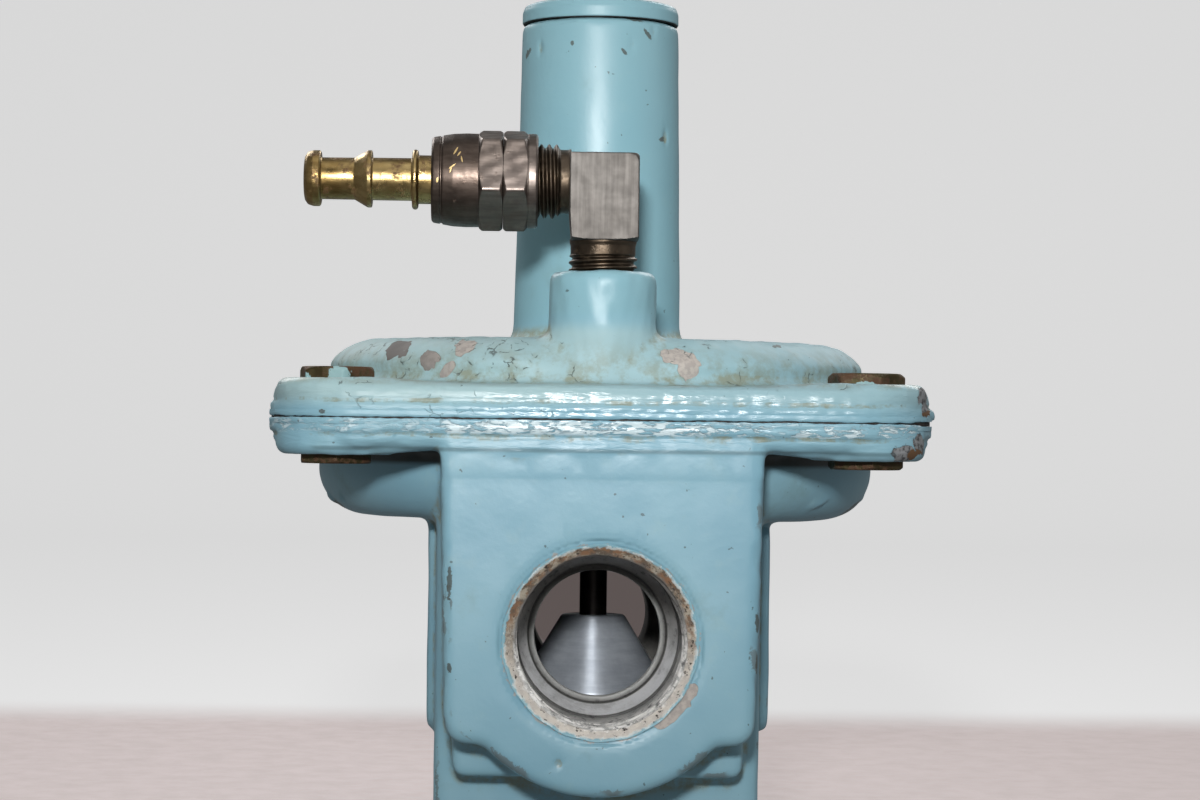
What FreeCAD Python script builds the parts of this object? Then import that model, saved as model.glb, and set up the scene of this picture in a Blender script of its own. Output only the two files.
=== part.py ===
import FreeCAD, Part
import math
import os
from FreeCAD import Vector

# Air pressure regulator, in millimetres.
# X is to the right, Y to the back and Z up. The origin is at the centre of the
# bottom face, on the axis that the spring tower, stem, valve and seat share.

UP = Vector(0, 0, 1)
RIGHT = Vector(1, 0, 0)
BACK = Vector(0, 1, 0)

# --- driving dimensions -------------------------------------------------------

# Square flange joint that clamps the diaphragm
SEAM_Z = 88.0
DIAPHRAGM_THICK = 0.8
FLANGE_HALF = 60.9
FLANGE_CORNER_R = 16.5
FLANGE_LIP_HIGH = 2.6
FLANGE_STEP_IN = 0.7
UPPER_FLANGE_TOP = 94.3
LOWER_FLANGE_BOTTOM = 82.6
FLANGE_EDGE_R = 1.9
BOLT_XY = 48.4
CORNER_BOSS_R = 11.0
UPPER_BOSS_TOP = 95.3
BOSS_EDGE_R = 1.9
LOWER_BOSS_BOTTOM = 81.1
BOSS_RAMP_LONG = 12.0

# Flange fasteners, 5/16 inch
BOLT_R = 3.97
BOLT_HOLE_R = 4.2
HEX_ACROSS_FLATS = 12.7
HEAD_TURN = 35.0
NUT_TURN = 28.0
HEAD_BOTTOM = 92.2
HEAD_TOP = 97.2
NUT_TOP = 84.6
NUT_BOTTOM = 79.5
BOLT_END = 79.9
SPOT_FACE_R = 8.3

# Upper cover: low dome and spring tower
DOME_R = 52.5
DOME_TOP = 103.2
DOME_SHOULDER_R = 10.0
COVER_CAVITY_R = 45.0
COVER_CAVITY_TOP = 99.5
CAVITY_CORNER_R = 5.0
TOWER_BASE_R = 16.5
TOWER_TOP_R = 15.5
TOWER_TOP = 166.2
TOWER_FOOT_R = 2.0
TOWER_BORE_R = 12.5

# Loading connection on the dome's front shoulder
LOADING_Y = -41.5
LOADING_BOSS_R = 10.0
LOADING_BOSS_TOP = 115.4
LOADING_HOLE_R = 6.3
LOADING_HOLE_BOTTOM = 105.0
LOADING_PASSAGE_R = 4.5

# Lower body: bowl, block, through ports and bottom port
BOWL_R = 54.5
BOWL_BOTTOM = 69.1
BOWL_EDGE_R = 9.0
BODY_CAVITY_BOTTOM = 73.5
BLOCK_HALF_X = 30.2
BLOCK_HALF_Y = 42.0
BLOCK_EDGE_R = 2.5
PORT_Z = 48.1
PORT_FACE_Y = 60.5
PORT_BOSS_HALF_TOP = 29.25
PORT_BOSS_HALF_LOW = 28.0
PORT_BOSS_ARC_R = 28.0
PORT_BOSS_SHOULDER_Z = 29.6
PORT_BOSS_EDGE_R = 1.6
PORT_THREAD_R = 15.9
PORT_THREAD_LONG = 20.0
PORT_CHAMFER = 1.3
PORT_CONE_LONG = 6.0
FRONT_BORE_R = 12.95
REAR_BORE_R = 11.8
CHAMBER_R = 22.5
CHAMBER_FLOOR = 30.0
RIB_HALF_X = 26.5
RIB_Y = 50.0
RIB_BOTTOM = 22.8
RIB_TOP = 30.0
LEFT_PAD_X = -32.1
RIGHT_PAD_X = 33.1
SIDE_PAD_HALF_Y = 26.0
SIDE_PAD_BOTTOM = 28.8
SIDE_PAD_TOP = 68.6
SIDE_PAD_CORNER_R = 4.0

# Guide plate across the top of the valve chamber
PLATE_BOTTOM = 66.0
PLATE_TOP = 69.5
PLATE_POCKET_R = 25.0
CIRCLIP_THICK = 1.5
CIRCLIP_GROOVE_R = 26.2

# Seat ring in the chamber floor
SEAT_BORE_R = 10.5
SEAT_LIP_TOP = 33.8
SEAT_LIP_R = 12.0
SEAT_FLANGE_R = 18.0
SEAT_FLANGE_TOP = 32.4
SEAT_THREAD_R = 14.0
SEAT_RING_BOTTOM = 22.0
SEAL_SECTION_R = 0.7
SEAL_RING_R = 15.6

# Valve plug, disc and stem
STEM_R = 2.7
STEM_BOTTOM = 28.4
STEM_TOP = 98.0
PLUG_BASE_R = 15.0
PLUG_TOP_R = 6.35
PLUG_TOP = 49.5
PLUG_CONE_BOTTOM = 34.9
PLUG_RIM_BOTTOM = 34.2
DISC_R = 13.0
DISC_BOTTOM = 33.85
DISC_TOP = 36.5
DISC_WASHER_R = 7.5
DISC_WASHER_THICK = 1.2
DISC_NUT_FLATS = 8.0

# Diaphragm stack on the stem
CENTRE_DROP = 4.0
DIAPHRAGM_PLATE_R = 33.0
DIAPHRAGM_PLATE_THICK = 1.2
JAM_NUT_HIGH = 2.8
JAM_NUT_FLATS = 9.5
LOCK_WASHER_THICK = 1.0
STEM_NUT_HIGH = 4.4
SPRING_SEAT_R = 12.0
SPRING_SEAT_THICK = 2.4
SPRING_PILOT_R = 7.9
SPRING_PILOT_HIGH = 2.5

# Range spring
SPRING_WIRE_R = 1.3
SPRING_MEAN_R = 9.6
SPRING_TURNS = 8.5

# Adjusting screw and closing cap in the tower
RUNNING_CLEARANCE = 0.05
UPPER_SEAT_BOTTOM = 146.5
UPPER_SEAT_THICK = 3.0
ADJUSTER_HIGH = 7.0
ADJUSTER_SOCKET_FLATS = 10.0
ADJUSTER_SOCKET_DEEP = 5.0
GASKET_THICK = 0.6
CAP_TOP = 170.0
CAP_EDGE_R = 1.2
CAP_SPIGOT_LONG = 5.4
CAP_SOCKET_FLATS = 14.0
CAP_SOCKET_DEEP = 6.0

# Pipe elbow and swivel hose end, along -X from the elbow
HOSE_Z = 132.0
ELBOW_HALF = 6.4
ELBOW_BOTTOM = 121.0
ELBOW_TOP = 137.1
ELBOW_LEG_R = 6.25
ELBOW_LEG_NECK_R = 6.0
ELBOW_LEG_NECK_LONG = 2.7
ELBOW_SIDE_LEG_R = 6.9
ELBOW_SIDE_NECK_R = 5.87
ELBOW_SIDE_NECK_LONG = 1.9
ELBOW_BORE_R = 3.5
THREAD_PITCH = 1.41
THREAD_DEEP = 0.6
HOSE_HEX_TURN = 16.0
NUT_COLLAR_START = -12.2
NUT_HEX_START = -14.1
NUT_HEX_END = -18.6
NUT_COLLAR_R = 8.7
HOSE_HEX_FLATS = 17.2
HOSE_HEX_END = -23.0
BARREL_END = -31.8
BARREL_R = 8.65
BARREL_END_R = 7.9
ELBOW_LEG_END = -16.0
NOSE_R = 5.0
NOSE_FLANGE_R = 6.0
SWIVEL_WIRE_R = 0.5

# Hose barb
BARB_BORE_R = 2.2
BARB_SHANK_START = -24.2
BARB_NECK_R = 4.55
BARB_NECK_END = -34.3
BARB_BEAD_R = 5.5
BARB_BEAD_END = -35.4
BARB_TUBE_R = 3.9
BARB_RIDGE_START = -43.0
BARB_RIDGE_R = 5.3
BARB_RIDGE_END = -46.0
BARB_TIP_START = -52.2
BARB_TIP_R = 5.15
BARB_TIP_END = -55.3

# --- sizes that follow from them ----------------------------------------------

DIAPHRAGM_TOP = SEAM_Z + DIAPHRAGM_THICK / 2
DIAPHRAGM_BOTTOM = SEAM_Z - DIAPHRAGM_THICK / 2
CENTRE_TOP = DIAPHRAGM_TOP - CENTRE_DROP
CENTRE_BOTTOM = DIAPHRAGM_BOTTOM - CENTRE_DROP
UPPER_PLATE_TOP = CENTRE_TOP + DIAPHRAGM_PLATE_THICK
LOWER_PLATE_BOTTOM = CENTRE_BOTTOM - DIAPHRAGM_PLATE_THICK
SPRING_BOTTOM = UPPER_PLATE_TOP + SPRING_SEAT_THICK
UPPER_SEAT_TOP = UPPER_SEAT_BOTTOM + UPPER_SEAT_THICK
ADJUSTER_TOP = UPPER_SEAT_TOP + ADJUSTER_HIGH
GASKET_TOP = TOWER_TOP + GASKET_THICK
PLUG_R_IN_TOWER = TOWER_BORE_R - RUNNING_CLEARANCE
CORNERS = [(x, y) for x in (-BOLT_XY, BOLT_XY) for y in (-BOLT_XY, BOLT_XY)]


# --- helpers ------------------------------------------------------------------

def cylinder(radius, low, high, x=0.0, y=0.0):
    """A solid cylinder along Z."""
    return Part.makeCylinder(radius, high - low, Vector(x, y, low), UP)


def box(x0, x1, y0, y1, z0, z1):
    """A solid box between two corners."""
    return Part.makeBox(x1 - x0, y1 - y0, z1 - z0, Vector(x0, y0, z0))


def joined(shapes):
    """One solid from several that touch or overlap, without leftover seams."""
    whole = shapes[0]
    for shape in shapes[1:]:
        whole = whole.fuse(shape)
    return whole.removeSplitter()


def without(shape, tools):
    """The shape with every tool cut away."""
    for tool in tools:
        shape = shape.cut(tool)
    return shape.removeSplitter()


def revolved(outline):
    """A solid turned about Z from (radius, height) points, closed by itself."""
    points = [Vector(radius, 0, height) for radius, height in outline]
    wire = Part.makePolygon(points + points[:1])
    return Part.Face(wire).revolve(Vector(0, 0, 0), UP, 360)


def turned_along_hose(outline):
    """A solid turned about the hose axis from (radius, x) points."""
    points = [Vector(x, LOADING_Y, HOSE_Z + radius) for radius, x in outline]
    wire = Part.makePolygon(points + points[:1])
    return Part.Face(wire).revolve(Vector(0, LOADING_Y, HOSE_Z), RIGHT, 360)


def hexagon(flats, low, high, x=0.0, y=0.0, turn=0.0):
    """A hexagonal prism along Z, with one corner at the angle turn."""
    corner_r = flats / math.sqrt(3)
    angles = [math.radians(turn + 60 * side) for side in range(6)]
    points = [Vector(x + corner_r * math.cos(a), y + corner_r * math.sin(a), low)
              for a in angles]
    face = Part.Face(Part.makePolygon(points + points[:1]))
    return face.extrude(Vector(0, 0, high - low))


def chamfered_hexagon(flats, low, high, chamfer, x=0.0, y=0.0, turn=0.0):
    """A hexagonal prism whose corners are turned off at both ends."""
    corner_r = flats / math.sqrt(3)
    inner_r = corner_r - chamfer * math.sqrt(3)
    limit = revolved([(0, low), (inner_r, low), (corner_r, low + chamfer),
                      (corner_r, high - chamfer), (inner_r, high), (0, high)])
    limit.translate(Vector(x, y, 0))
    return hexagon(flats, low, high, x, y, turn).common(limit)


def along_hose(shape):
    """Lays a shape made along +Z at the origin down along -X on the hose axis."""
    shape.rotate(Vector(0, 0, 0), BACK, -90)
    shape.translate(Vector(0, LOADING_Y, HOSE_Z))
    return shape


def rounded_square(half, corner_r, low, high):
    """A square plate with rounded corners."""
    plate = box(-half, half, -half, half, low, high)
    upright = [edge for edge in plate.Edges if abs(edge.tangentAt(0).z) > 0.9]
    return plate.makeFillet(corner_r, upright)


def edges_at(shape, height):
    """The edges that lie flat at one height."""
    return [edge for edge in shape.Edges
            if abs(edge.BoundBox.ZMin - height) < 0.01
            and abs(edge.BoundBox.ZMax - height) < 0.01]


def thread_grooves(outer_r, start, end):
    """V-shaped rings to cut from a shank along Z, one every thread pitch."""
    count = int((end - start) / THREAD_PITCH)
    half = THREAD_PITCH * 0.42
    rings = []
    for turn in range(count):
        middle = start + (turn + 0.5) * THREAD_PITCH
        rings.append(revolved([(outer_r + 0.1, middle - half),
                               (outer_r + 0.1, middle + half),
                               (outer_r - THREAD_DEEP, middle)]))
    return rings


# --- castings -----------------------------------------------------------------

def flange_half(seam, step, outside):
    """One half of the square flange: a lip at the seam and a rounded outer part."""
    low, high = min(seam, step), max(seam, step)
    lip = rounded_square(FLANGE_HALF, FLANGE_CORNER_R, low, high)
    lip = lip.makeFillet(0.5, edges_at(lip, step))
    inner_half = FLANGE_HALF - FLANGE_STEP_IN
    low, high = min(seam, outside), max(seam, outside)
    body = rounded_square(inner_half, FLANGE_CORNER_R - FLANGE_STEP_IN, low, high)
    body = body.makeFillet(FLANGE_EDGE_R, edges_at(body, outside))
    return joined([body, lip])


def corner_boss(x, y, flange_face, end):
    """A round pad around one bolt, with ramps that fade along both flange sides."""
    low, high = min(flange_face, end), max(flange_face, end)
    inward = 2.5 if end > flange_face else -2.5
    pad = cylinder(CORNER_BOSS_R, min(low, low - inward), max(high, high - inward), x, y)
    pad = pad.makeFillet(BOSS_EDGE_R, edges_at(pad, end))
    ramps = []
    for along_x in (True, False):
        ramp = boss_ramp(x, y, flange_face - inward, end, flange_face, along_x)
        ramps.append(ramp)
    return joined([pad] + ramps)


def boss_ramp(x, y, root, end, flange_face, along_x):
    """A wedge from a corner pad towards the middle of one flange side."""
    here, across = (x, y) if along_x else (y, x)
    toward_middle = -1 if here > 0 else 1
    outer = here
    middle = here + toward_middle * (CORNER_BOSS_R * 0.5)
    faded = here + toward_middle * (CORNER_BOSS_R + BOSS_RAMP_LONG)
    outline = [(outer, root), (outer, end), (middle, end), (faded, flange_face),
               (faded, root)]
    side = 1 if across > 0 else -1
    near = across - side * 4.0
    depth = side * (4.0 + CORNER_BOSS_R - 1.5)
    if along_x:
        points = [Vector(run, near, height) for run, height in outline]
        sweep = Vector(0, depth, 0)
    else:
        points = [Vector(near, run, height) for run, height in outline]
        sweep = Vector(depth, 0, 0)
    return Part.Face(Part.makePolygon(points + points[:1])).extrude(sweep)


def dome_and_tower():
    """The turned part of the cover: low dome, foot radius and tapered tower."""
    low = UPPER_FLANGE_TOP - 2
    shoulder_r = DOME_R - DOME_SHOULDER_R
    shoulder_z = DOME_TOP - DOME_SHOULDER_R
    slant = DOME_SHOULDER_R * math.sqrt(0.5)
    foot_z = DOME_TOP + TOWER_FOOT_R
    foot_r = TOWER_BASE_R + TOWER_FOOT_R
    sweep = TOWER_FOOT_R * (1 - math.sqrt(0.5))
    edges = [
        Part.LineSegment(Vector(0, 0, low), Vector(DOME_R, 0, low)),
        Part.LineSegment(Vector(DOME_R, 0, low), Vector(DOME_R, 0, shoulder_z)),
        Part.Arc(Vector(DOME_R, 0, shoulder_z),
                 Vector(shoulder_r + slant, 0, shoulder_z + slant),
                 Vector(shoulder_r, 0, DOME_TOP)),
        Part.LineSegment(Vector(shoulder_r, 0, DOME_TOP), Vector(foot_r, 0, DOME_TOP)),
        Part.Arc(Vector(foot_r, 0, DOME_TOP),
                 Vector(TOWER_BASE_R + sweep, 0, DOME_TOP + sweep),
                 Vector(TOWER_BASE_R, 0, foot_z)),
        Part.LineSegment(Vector(TOWER_BASE_R, 0, foot_z),
                         Vector(TOWER_TOP_R, 0, TOWER_TOP)),
        Part.LineSegment(Vector(TOWER_TOP_R, 0, TOWER_TOP), Vector(0, 0, TOWER_TOP)),
        Part.LineSegment(Vector(0, 0, TOWER_TOP), Vector(0, 0, low)),
    ]
    wire = Part.Wire([edge.toShape() for edge in edges])
    return Part.Face(wire).revolve(Vector(0, 0, 0), UP, 360)


def loading_boss():
    """The round boss on the dome's shoulder that takes the pipe elbow."""
    boss = cylinder(LOADING_BOSS_R, UPPER_FLANGE_TOP - 2, LOADING_BOSS_TOP, 0, LOADING_Y)
    return boss.makeFillet(1.6, edges_at(boss, LOADING_BOSS_TOP))


def cavity(low, high, rounded_end):
    """A round hollow with its closed end's corner rounded."""
    hollow = cylinder(COVER_CAVITY_R, low, high)
    return hollow.makeFillet(CAVITY_CORNER_R, edges_at(hollow, rounded_end))


def upper_cover():
    step = DIAPHRAGM_TOP + FLANGE_LIP_HIGH
    solids = [flange_half(DIAPHRAGM_TOP, step, UPPER_FLANGE_TOP), dome_and_tower()]
    solids += [corner_boss(x, y, UPPER_FLANGE_TOP, UPPER_BOSS_TOP) for x, y in CORNERS]
    solids.append(loading_boss())
    cuts = [
        cavity(DIAPHRAGM_TOP - 1, COVER_CAVITY_TOP, COVER_CAVITY_TOP),
        cylinder(TOWER_BORE_R, COVER_CAVITY_TOP - 1, TOWER_TOP + 1),
        cylinder(LOADING_HOLE_R + RUNNING_CLEARANCE, LOADING_HOLE_BOTTOM,
                 LOADING_BOSS_TOP + 1, 0, LOADING_Y),
        cylinder(LOADING_PASSAGE_R, COVER_CAVITY_TOP - 6, LOADING_HOLE_BOTTOM + 1,
                 0, LOADING_Y),
    ]
    for x, y in CORNERS:
        cuts.append(cylinder(BOLT_HOLE_R, DIAPHRAGM_TOP - 1, HEAD_BOTTOM + 1, x, y))
        cuts.append(cylinder(SPOT_FACE_R, HEAD_BOTTOM, UPPER_BOSS_TOP + 1, x, y))
    return without(joined(solids), cuts)


def bowl():
    """The shallow round case under the lower flange."""
    round_bowl = cylinder(BOWL_R, BOWL_BOTTOM, LOWER_FLANGE_BOTTOM + 1)
    return round_bowl.makeFillet(BOWL_EDGE_R, edges_at(round_bowl, BOWL_BOTTOM))


def port_boss():
    """The through boss for both ports: straight sides, shoulders, round bottom."""
    top_z = LOWER_FLANGE_BOTTOM + 1
    shoulder_r = 4.0
    shoulder_z = PORT_BOSS_SHOULDER_Z
    rise = shoulder_z - PORT_Z
    arc_x = math.sqrt(PORT_BOSS_ARC_R ** 2 - rise ** 2)
    diagonal = shoulder_r * (1 - math.sqrt(0.5))
    side_x = PORT_BOSS_HALF_LOW
    flat_x = side_x - shoulder_r
    face_y = PORT_FACE_Y

    def at(x, z):
        return Vector(x, -face_y, z)

    edges = [
        Part.LineSegment(at(-PORT_BOSS_HALF_TOP, top_z), at(PORT_BOSS_HALF_TOP, top_z)),
        Part.LineSegment(at(PORT_BOSS_HALF_TOP, top_z), at(side_x, shoulder_z + shoulder_r)),
        Part.Arc(at(side_x, shoulder_z + shoulder_r),
                 at(side_x - diagonal, shoulder_z + diagonal),
                 at(flat_x, shoulder_z)),
        Part.LineSegment(at(flat_x, shoulder_z), at(arc_x, shoulder_z)),
        Part.Arc(at(arc_x, shoulder_z), at(0, PORT_Z - PORT_BOSS_ARC_R),
                 at(-arc_x, shoulder_z)),
        Part.LineSegment(at(-arc_x, shoulder_z), at(-flat_x, shoulder_z)),
        Part.Arc(at(-flat_x, shoulder_z),
                 at(-side_x + diagonal, shoulder_z + diagonal),
                 at(-side_x, shoulder_z + shoulder_r)),
        Part.LineSegment(at(-side_x, shoulder_z + shoulder_r),
                         at(-PORT_BOSS_HALF_TOP, top_z)),
    ]
    wire = Part.Wire([edge.toShape() for edge in edges])
    boss = Part.Face(wire).extrude(Vector(0, 2 * face_y, 0))
    notches = [edge for edge in boss.Edges
               if abs(abs(edge.CenterOfMass.x) - arc_x) < 0.01
               and abs(edge.CenterOfMass.z - shoulder_z) < 0.01
               and edge.BoundBox.YLength > 1]
    boss = boss.makeFillet(2.2, notches)
    rim = [edge for edge in boss.Edges
           if edge.BoundBox.YLength < 0.01
           and not (edge.BoundBox.ZMin > top_z - 0.01)]
    return boss.makeFillet(PORT_BOSS_EDGE_R, rim)


def port_tool(toward, bore_r):
    """What one port removes: chamfer, thread wall, cone and bore to the chamber."""
    depths = [
        (0, PORT_THREAD_R + PORT_CHAMFER + 0.5),
        (PORT_CHAMFER + 0.5, PORT_THREAD_R),
        (PORT_THREAD_LONG, PORT_THREAD_R),
        (PORT_THREAD_LONG, PORT_THREAD_R - 0.9),
        (PORT_THREAD_LONG + PORT_CONE_LONG, bore_r),
        (PORT_FACE_Y - 5, bore_r),
    ]
    outline = [(0, 0)] + [(radius, depth) for depth, radius in depths]
    outline.append((0, PORT_FACE_Y - 5))
    tool = revolved(outline)
    tool.rotate(Vector(0, 0, 0), RIGHT, 90 * toward)
    tool.translate(Vector(0, toward * PORT_FACE_Y, PORT_Z))
    return tool


def side_pad(face_x):
    """The flat machined pad on one side of the block."""
    root_x = math.copysign(BLOCK_HALF_X - 2, face_x)
    pad = box(min(root_x, face_x), max(root_x, face_x), -SIDE_PAD_HALF_Y, SIDE_PAD_HALF_Y,
              SIDE_PAD_BOTTOM, SIDE_PAD_TOP)
    across = [edge for edge in pad.Edges if edge.BoundBox.XLength > 1]
    pad = pad.makeFillet(SIDE_PAD_CORNER_R, across)
    face = [edge for edge in pad.Edges
            if edge.BoundBox.XLength < 0.01
            and abs(edge.CenterOfMass.x - face_x) < 0.01]
    return pad.makeFillet(0.8, face)


def body_block():
    """The tall block between the ports, with rounded upright edges."""
    block = box(-BLOCK_HALF_X, BLOCK_HALF_X, -BLOCK_HALF_Y, BLOCK_HALF_Y,
                0, BODY_CAVITY_BOTTOM)
    upright = [edge for edge in block.Edges if edge.BoundBox.ZLength > 1]
    block = block.makeFillet(BLOCK_EDGE_R, upright)
    return block.makeFillet(0.8, edges_at(block, 0))


def cross_rib():
    """The bar behind and below both port bosses."""
    rib = box(-RIB_HALF_X, RIB_HALF_X, -RIB_Y, RIB_Y, RIB_BOTTOM, RIB_TOP)
    along_y = [edge for edge in rib.Edges
               if edge.BoundBox.YLength > 1 and edge.CenterOfMass.z < RIB_TOP - 1]
    rib = rib.makeFillet(2.0, along_y)
    ends = [edge for edge in rib.Edges
            if edge.BoundBox.YLength < 0.01 and edge.CenterOfMass.z < RIB_TOP - 0.5]
    return rib.makeFillet(0.8, ends)


def lower_body():
    step = DIAPHRAGM_BOTTOM - FLANGE_LIP_HIGH
    solids = [flange_half(DIAPHRAGM_BOTTOM, step, LOWER_FLANGE_BOTTOM), bowl()]
    solids += [corner_boss(x, y, LOWER_FLANGE_BOTTOM, LOWER_BOSS_BOTTOM)
               for x, y in CORNERS]
    solids += [body_block(), port_boss(), cross_rib(), side_pad(LEFT_PAD_X),
               side_pad(RIGHT_PAD_X)]
    clip_top = PLATE_TOP + CIRCLIP_THICK
    seal_groove = revolved([
        (SEAL_RING_R - SEAL_SECTION_R, CHAMBER_FLOOR + 0.5),
        (SEAL_RING_R - SEAL_SECTION_R, CHAMBER_FLOOR - 2 * SEAL_SECTION_R),
        (SEAL_RING_R + SEAL_SECTION_R, CHAMBER_FLOOR - 2 * SEAL_SECTION_R),
        (SEAL_RING_R + SEAL_SECTION_R, CHAMBER_FLOOR + 0.5),
    ])
    bottom_mouth = revolved([
        (0, -1), (PORT_THREAD_R + PORT_CHAMFER + 1, -1),
        (PORT_THREAD_R, PORT_CHAMFER), (PORT_THREAD_R, PORT_THREAD_LONG),
        (0, PORT_THREAD_LONG),
    ])
    cuts = [
        cavity(BODY_CAVITY_BOTTOM, DIAPHRAGM_BOTTOM + 1, BODY_CAVITY_BOTTOM),
        cylinder(PLATE_POCKET_R, PLATE_BOTTOM, BODY_CAVITY_BOTTOM + 1),
        cylinder(CIRCLIP_GROOVE_R, PLATE_TOP, clip_top),
        cylinder(CHAMBER_R, CHAMBER_FLOOR, PLATE_BOTTOM + 1),
        cylinder(SEAT_THREAD_R + RUNNING_CLEARANCE, PORT_THREAD_LONG - 1,
                 CHAMBER_FLOOR + 1),
        bottom_mouth,
        seal_groove,
        port_tool(-1, FRONT_BORE_R),
        port_tool(1, REAR_BORE_R),
    ]
    for x, y in CORNERS:
        cuts.append(cylinder(BOLT_HOLE_R, NUT_TOP - 1, DIAPHRAGM_BOTTOM + 1, x, y))
        cuts.append(cylinder(SPOT_FACE_R, LOWER_BOSS_BOTTOM - 1, NUT_TOP, x, y))
    return without(joined(solids), cuts)


# --- flange fasteners ---------------------------------------------------------

def flange_bolt(x, y):
    head = chamfered_hexagon(HEX_ACROSS_FLATS, HEAD_BOTTOM, HEAD_TOP, 0.6, x, y,
                             HEAD_TURN)
    shank = cylinder(BOLT_R, BOLT_END, HEAD_BOTTOM + 1, x, y)
    return joined([head, shank])


def flange_nut(x, y):
    nut = chamfered_hexagon(HEX_ACROSS_FLATS, NUT_BOTTOM, NUT_TOP, 0.5, x, y, NUT_TURN)
    return nut.cut(cylinder(BOLT_R, NUT_BOTTOM - 1, NUT_TOP + 1, x, y))


# --- diaphragm and the stack on the stem --------------------------------------

def diaphragm():
    """A fabric-reinforced rubber sheet: flat rim, sloped ring and lowered centre."""
    rim = rounded_square(FLANGE_HALF - 0.3, FLANGE_CORNER_R - 0.3,
                         DIAPHRAGM_BOTTOM, DIAPHRAGM_TOP)
    rim = rim.cut(cylinder(COVER_CAVITY_R - 0.5, DIAPHRAGM_BOTTOM - 1, DIAPHRAGM_TOP + 1))
    slope = [(COVER_CAVITY_R, DIAPHRAGM_BOTTOM), (COVER_CAVITY_R - 1.5, DIAPHRAGM_BOTTOM),
             (COVER_CAVITY_R - 5.5, SEAM_Z - CENTRE_DROP / 2 - DIAPHRAGM_THICK / 2),
             (DIAPHRAGM_PLATE_R + 1.5, CENTRE_BOTTOM), (STEM_R, CENTRE_BOTTOM)]
    above = [(radius, height + DIAPHRAGM_THICK) for radius, height in reversed(slope)]
    sheet = revolved(slope + above)
    holes = [cylinder(BOLT_HOLE_R, DIAPHRAGM_BOTTOM - 1, DIAPHRAGM_TOP + 1, x, y)
             for x, y in CORNERS]
    return without(joined([rim, sheet]), holes)


def diaphragm_plate(low, rim_up):
    """A pressed steel plate with its outer edge turned away from the diaphragm."""
    high = low + DIAPHRAGM_PLATE_THICK
    plate = cylinder(DIAPHRAGM_PLATE_R, low, high)
    rim_low, rim_high = (low, high + 1.6) if rim_up else (low - 1.6, high)
    rim = cylinder(DIAPHRAGM_PLATE_R, rim_low, rim_high)
    rim = rim.cut(cylinder(DIAPHRAGM_PLATE_R - DIAPHRAGM_PLATE_THICK, rim_low - 1, rim_high + 1))
    return without(joined([plate, rim]), [cylinder(STEM_R, low - 1, high + 1)])


def lower_spring_seat():
    seat = revolved([
        (6.4, UPPER_PLATE_TOP), (SPRING_SEAT_R, UPPER_PLATE_TOP),
        (SPRING_SEAT_R, SPRING_BOTTOM), (SPRING_PILOT_R, SPRING_BOTTOM),
        (SPRING_PILOT_R - 0.4, SPRING_BOTTOM + SPRING_PILOT_HIGH),
        (6.4, SPRING_BOTTOM + SPRING_PILOT_HIGH),
    ])
    return seat


def nut_on_stem(flats, low, high, turn=0.0):
    nut = chamfered_hexagon(flats, low, high, 0.4, 0, 0, turn)
    return nut.cut(cylinder(STEM_R, low - 1, high + 1))


def lock_washer():
    """A split spring washer under the stem nut."""
    high = UPPER_PLATE_TOP + LOCK_WASHER_THICK
    ring = cylinder(5.2, UPPER_PLATE_TOP, high)
    gap = box(2, 7, -0.4, 0.4, UPPER_PLATE_TOP - 1, high + 1)
    return without(ring, [cylinder(STEM_R, UPPER_PLATE_TOP - 1, high + 1), gap])


def valve_stem():
    return revolved([
        (0, STEM_BOTTOM), (STEM_R - 0.5, STEM_BOTTOM), (STEM_R, STEM_BOTTOM + 0.5),
        (STEM_R, STEM_TOP - 0.5), (STEM_R - 0.5, STEM_TOP), (0, STEM_TOP),
    ])


# --- valve and seat -----------------------------------------------------------

def valve_plug():
    """The aluminium cone that carries the soft disc in a pocket underneath."""
    return revolved([
        (STEM_R, DISC_TOP), (DISC_R + 0.05, DISC_TOP), (DISC_R + 0.05, PLUG_RIM_BOTTOM),
        (PLUG_BASE_R, PLUG_RIM_BOTTOM), (PLUG_BASE_R, PLUG_CONE_BOTTOM),
        (PLUG_TOP_R, PLUG_TOP - 0.3), (PLUG_TOP_R - 0.3, PLUG_TOP), (STEM_R, PLUG_TOP),
    ])


def ring(inner_r, outer_r, low, high):
    """A plain round ring."""
    return cylinder(outer_r, low, high).cut(cylinder(inner_r, low - 1, high + 1))


def seat_ring():
    """The threaded brass seat, with a raised lip and two spanner notches."""
    turned = revolved([
        (SEAT_BORE_R, SEAT_RING_BOTTOM), (SEAT_THREAD_R, SEAT_RING_BOTTOM),
        (SEAT_THREAD_R, CHAMBER_FLOOR), (SEAT_FLANGE_R, CHAMBER_FLOOR),
        (SEAT_FLANGE_R, SEAT_FLANGE_TOP), (SEAT_LIP_R + 0.8, SEAT_FLANGE_TOP),
        (SEAT_LIP_R - 0.6, SEAT_LIP_TOP), (SEAT_BORE_R, SEAT_LIP_TOP),
    ])
    notches = [box(min(side * 15, side * 19), max(side * 15, side * 19), -1.5, 1.5,
                   SEAT_FLANGE_TOP - 1.2, SEAT_FLANGE_TOP + 1) for side in (-1, 1)]
    return without(turned, notches)


def seat_seal():
    """The O-ring in the chamber floor under the seat ring."""
    return Part.makeTorus(SEAL_RING_R, SEAL_SECTION_R - 0.02,
                          Vector(0, 0, CHAMBER_FLOOR - SEAL_SECTION_R), UP)


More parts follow.
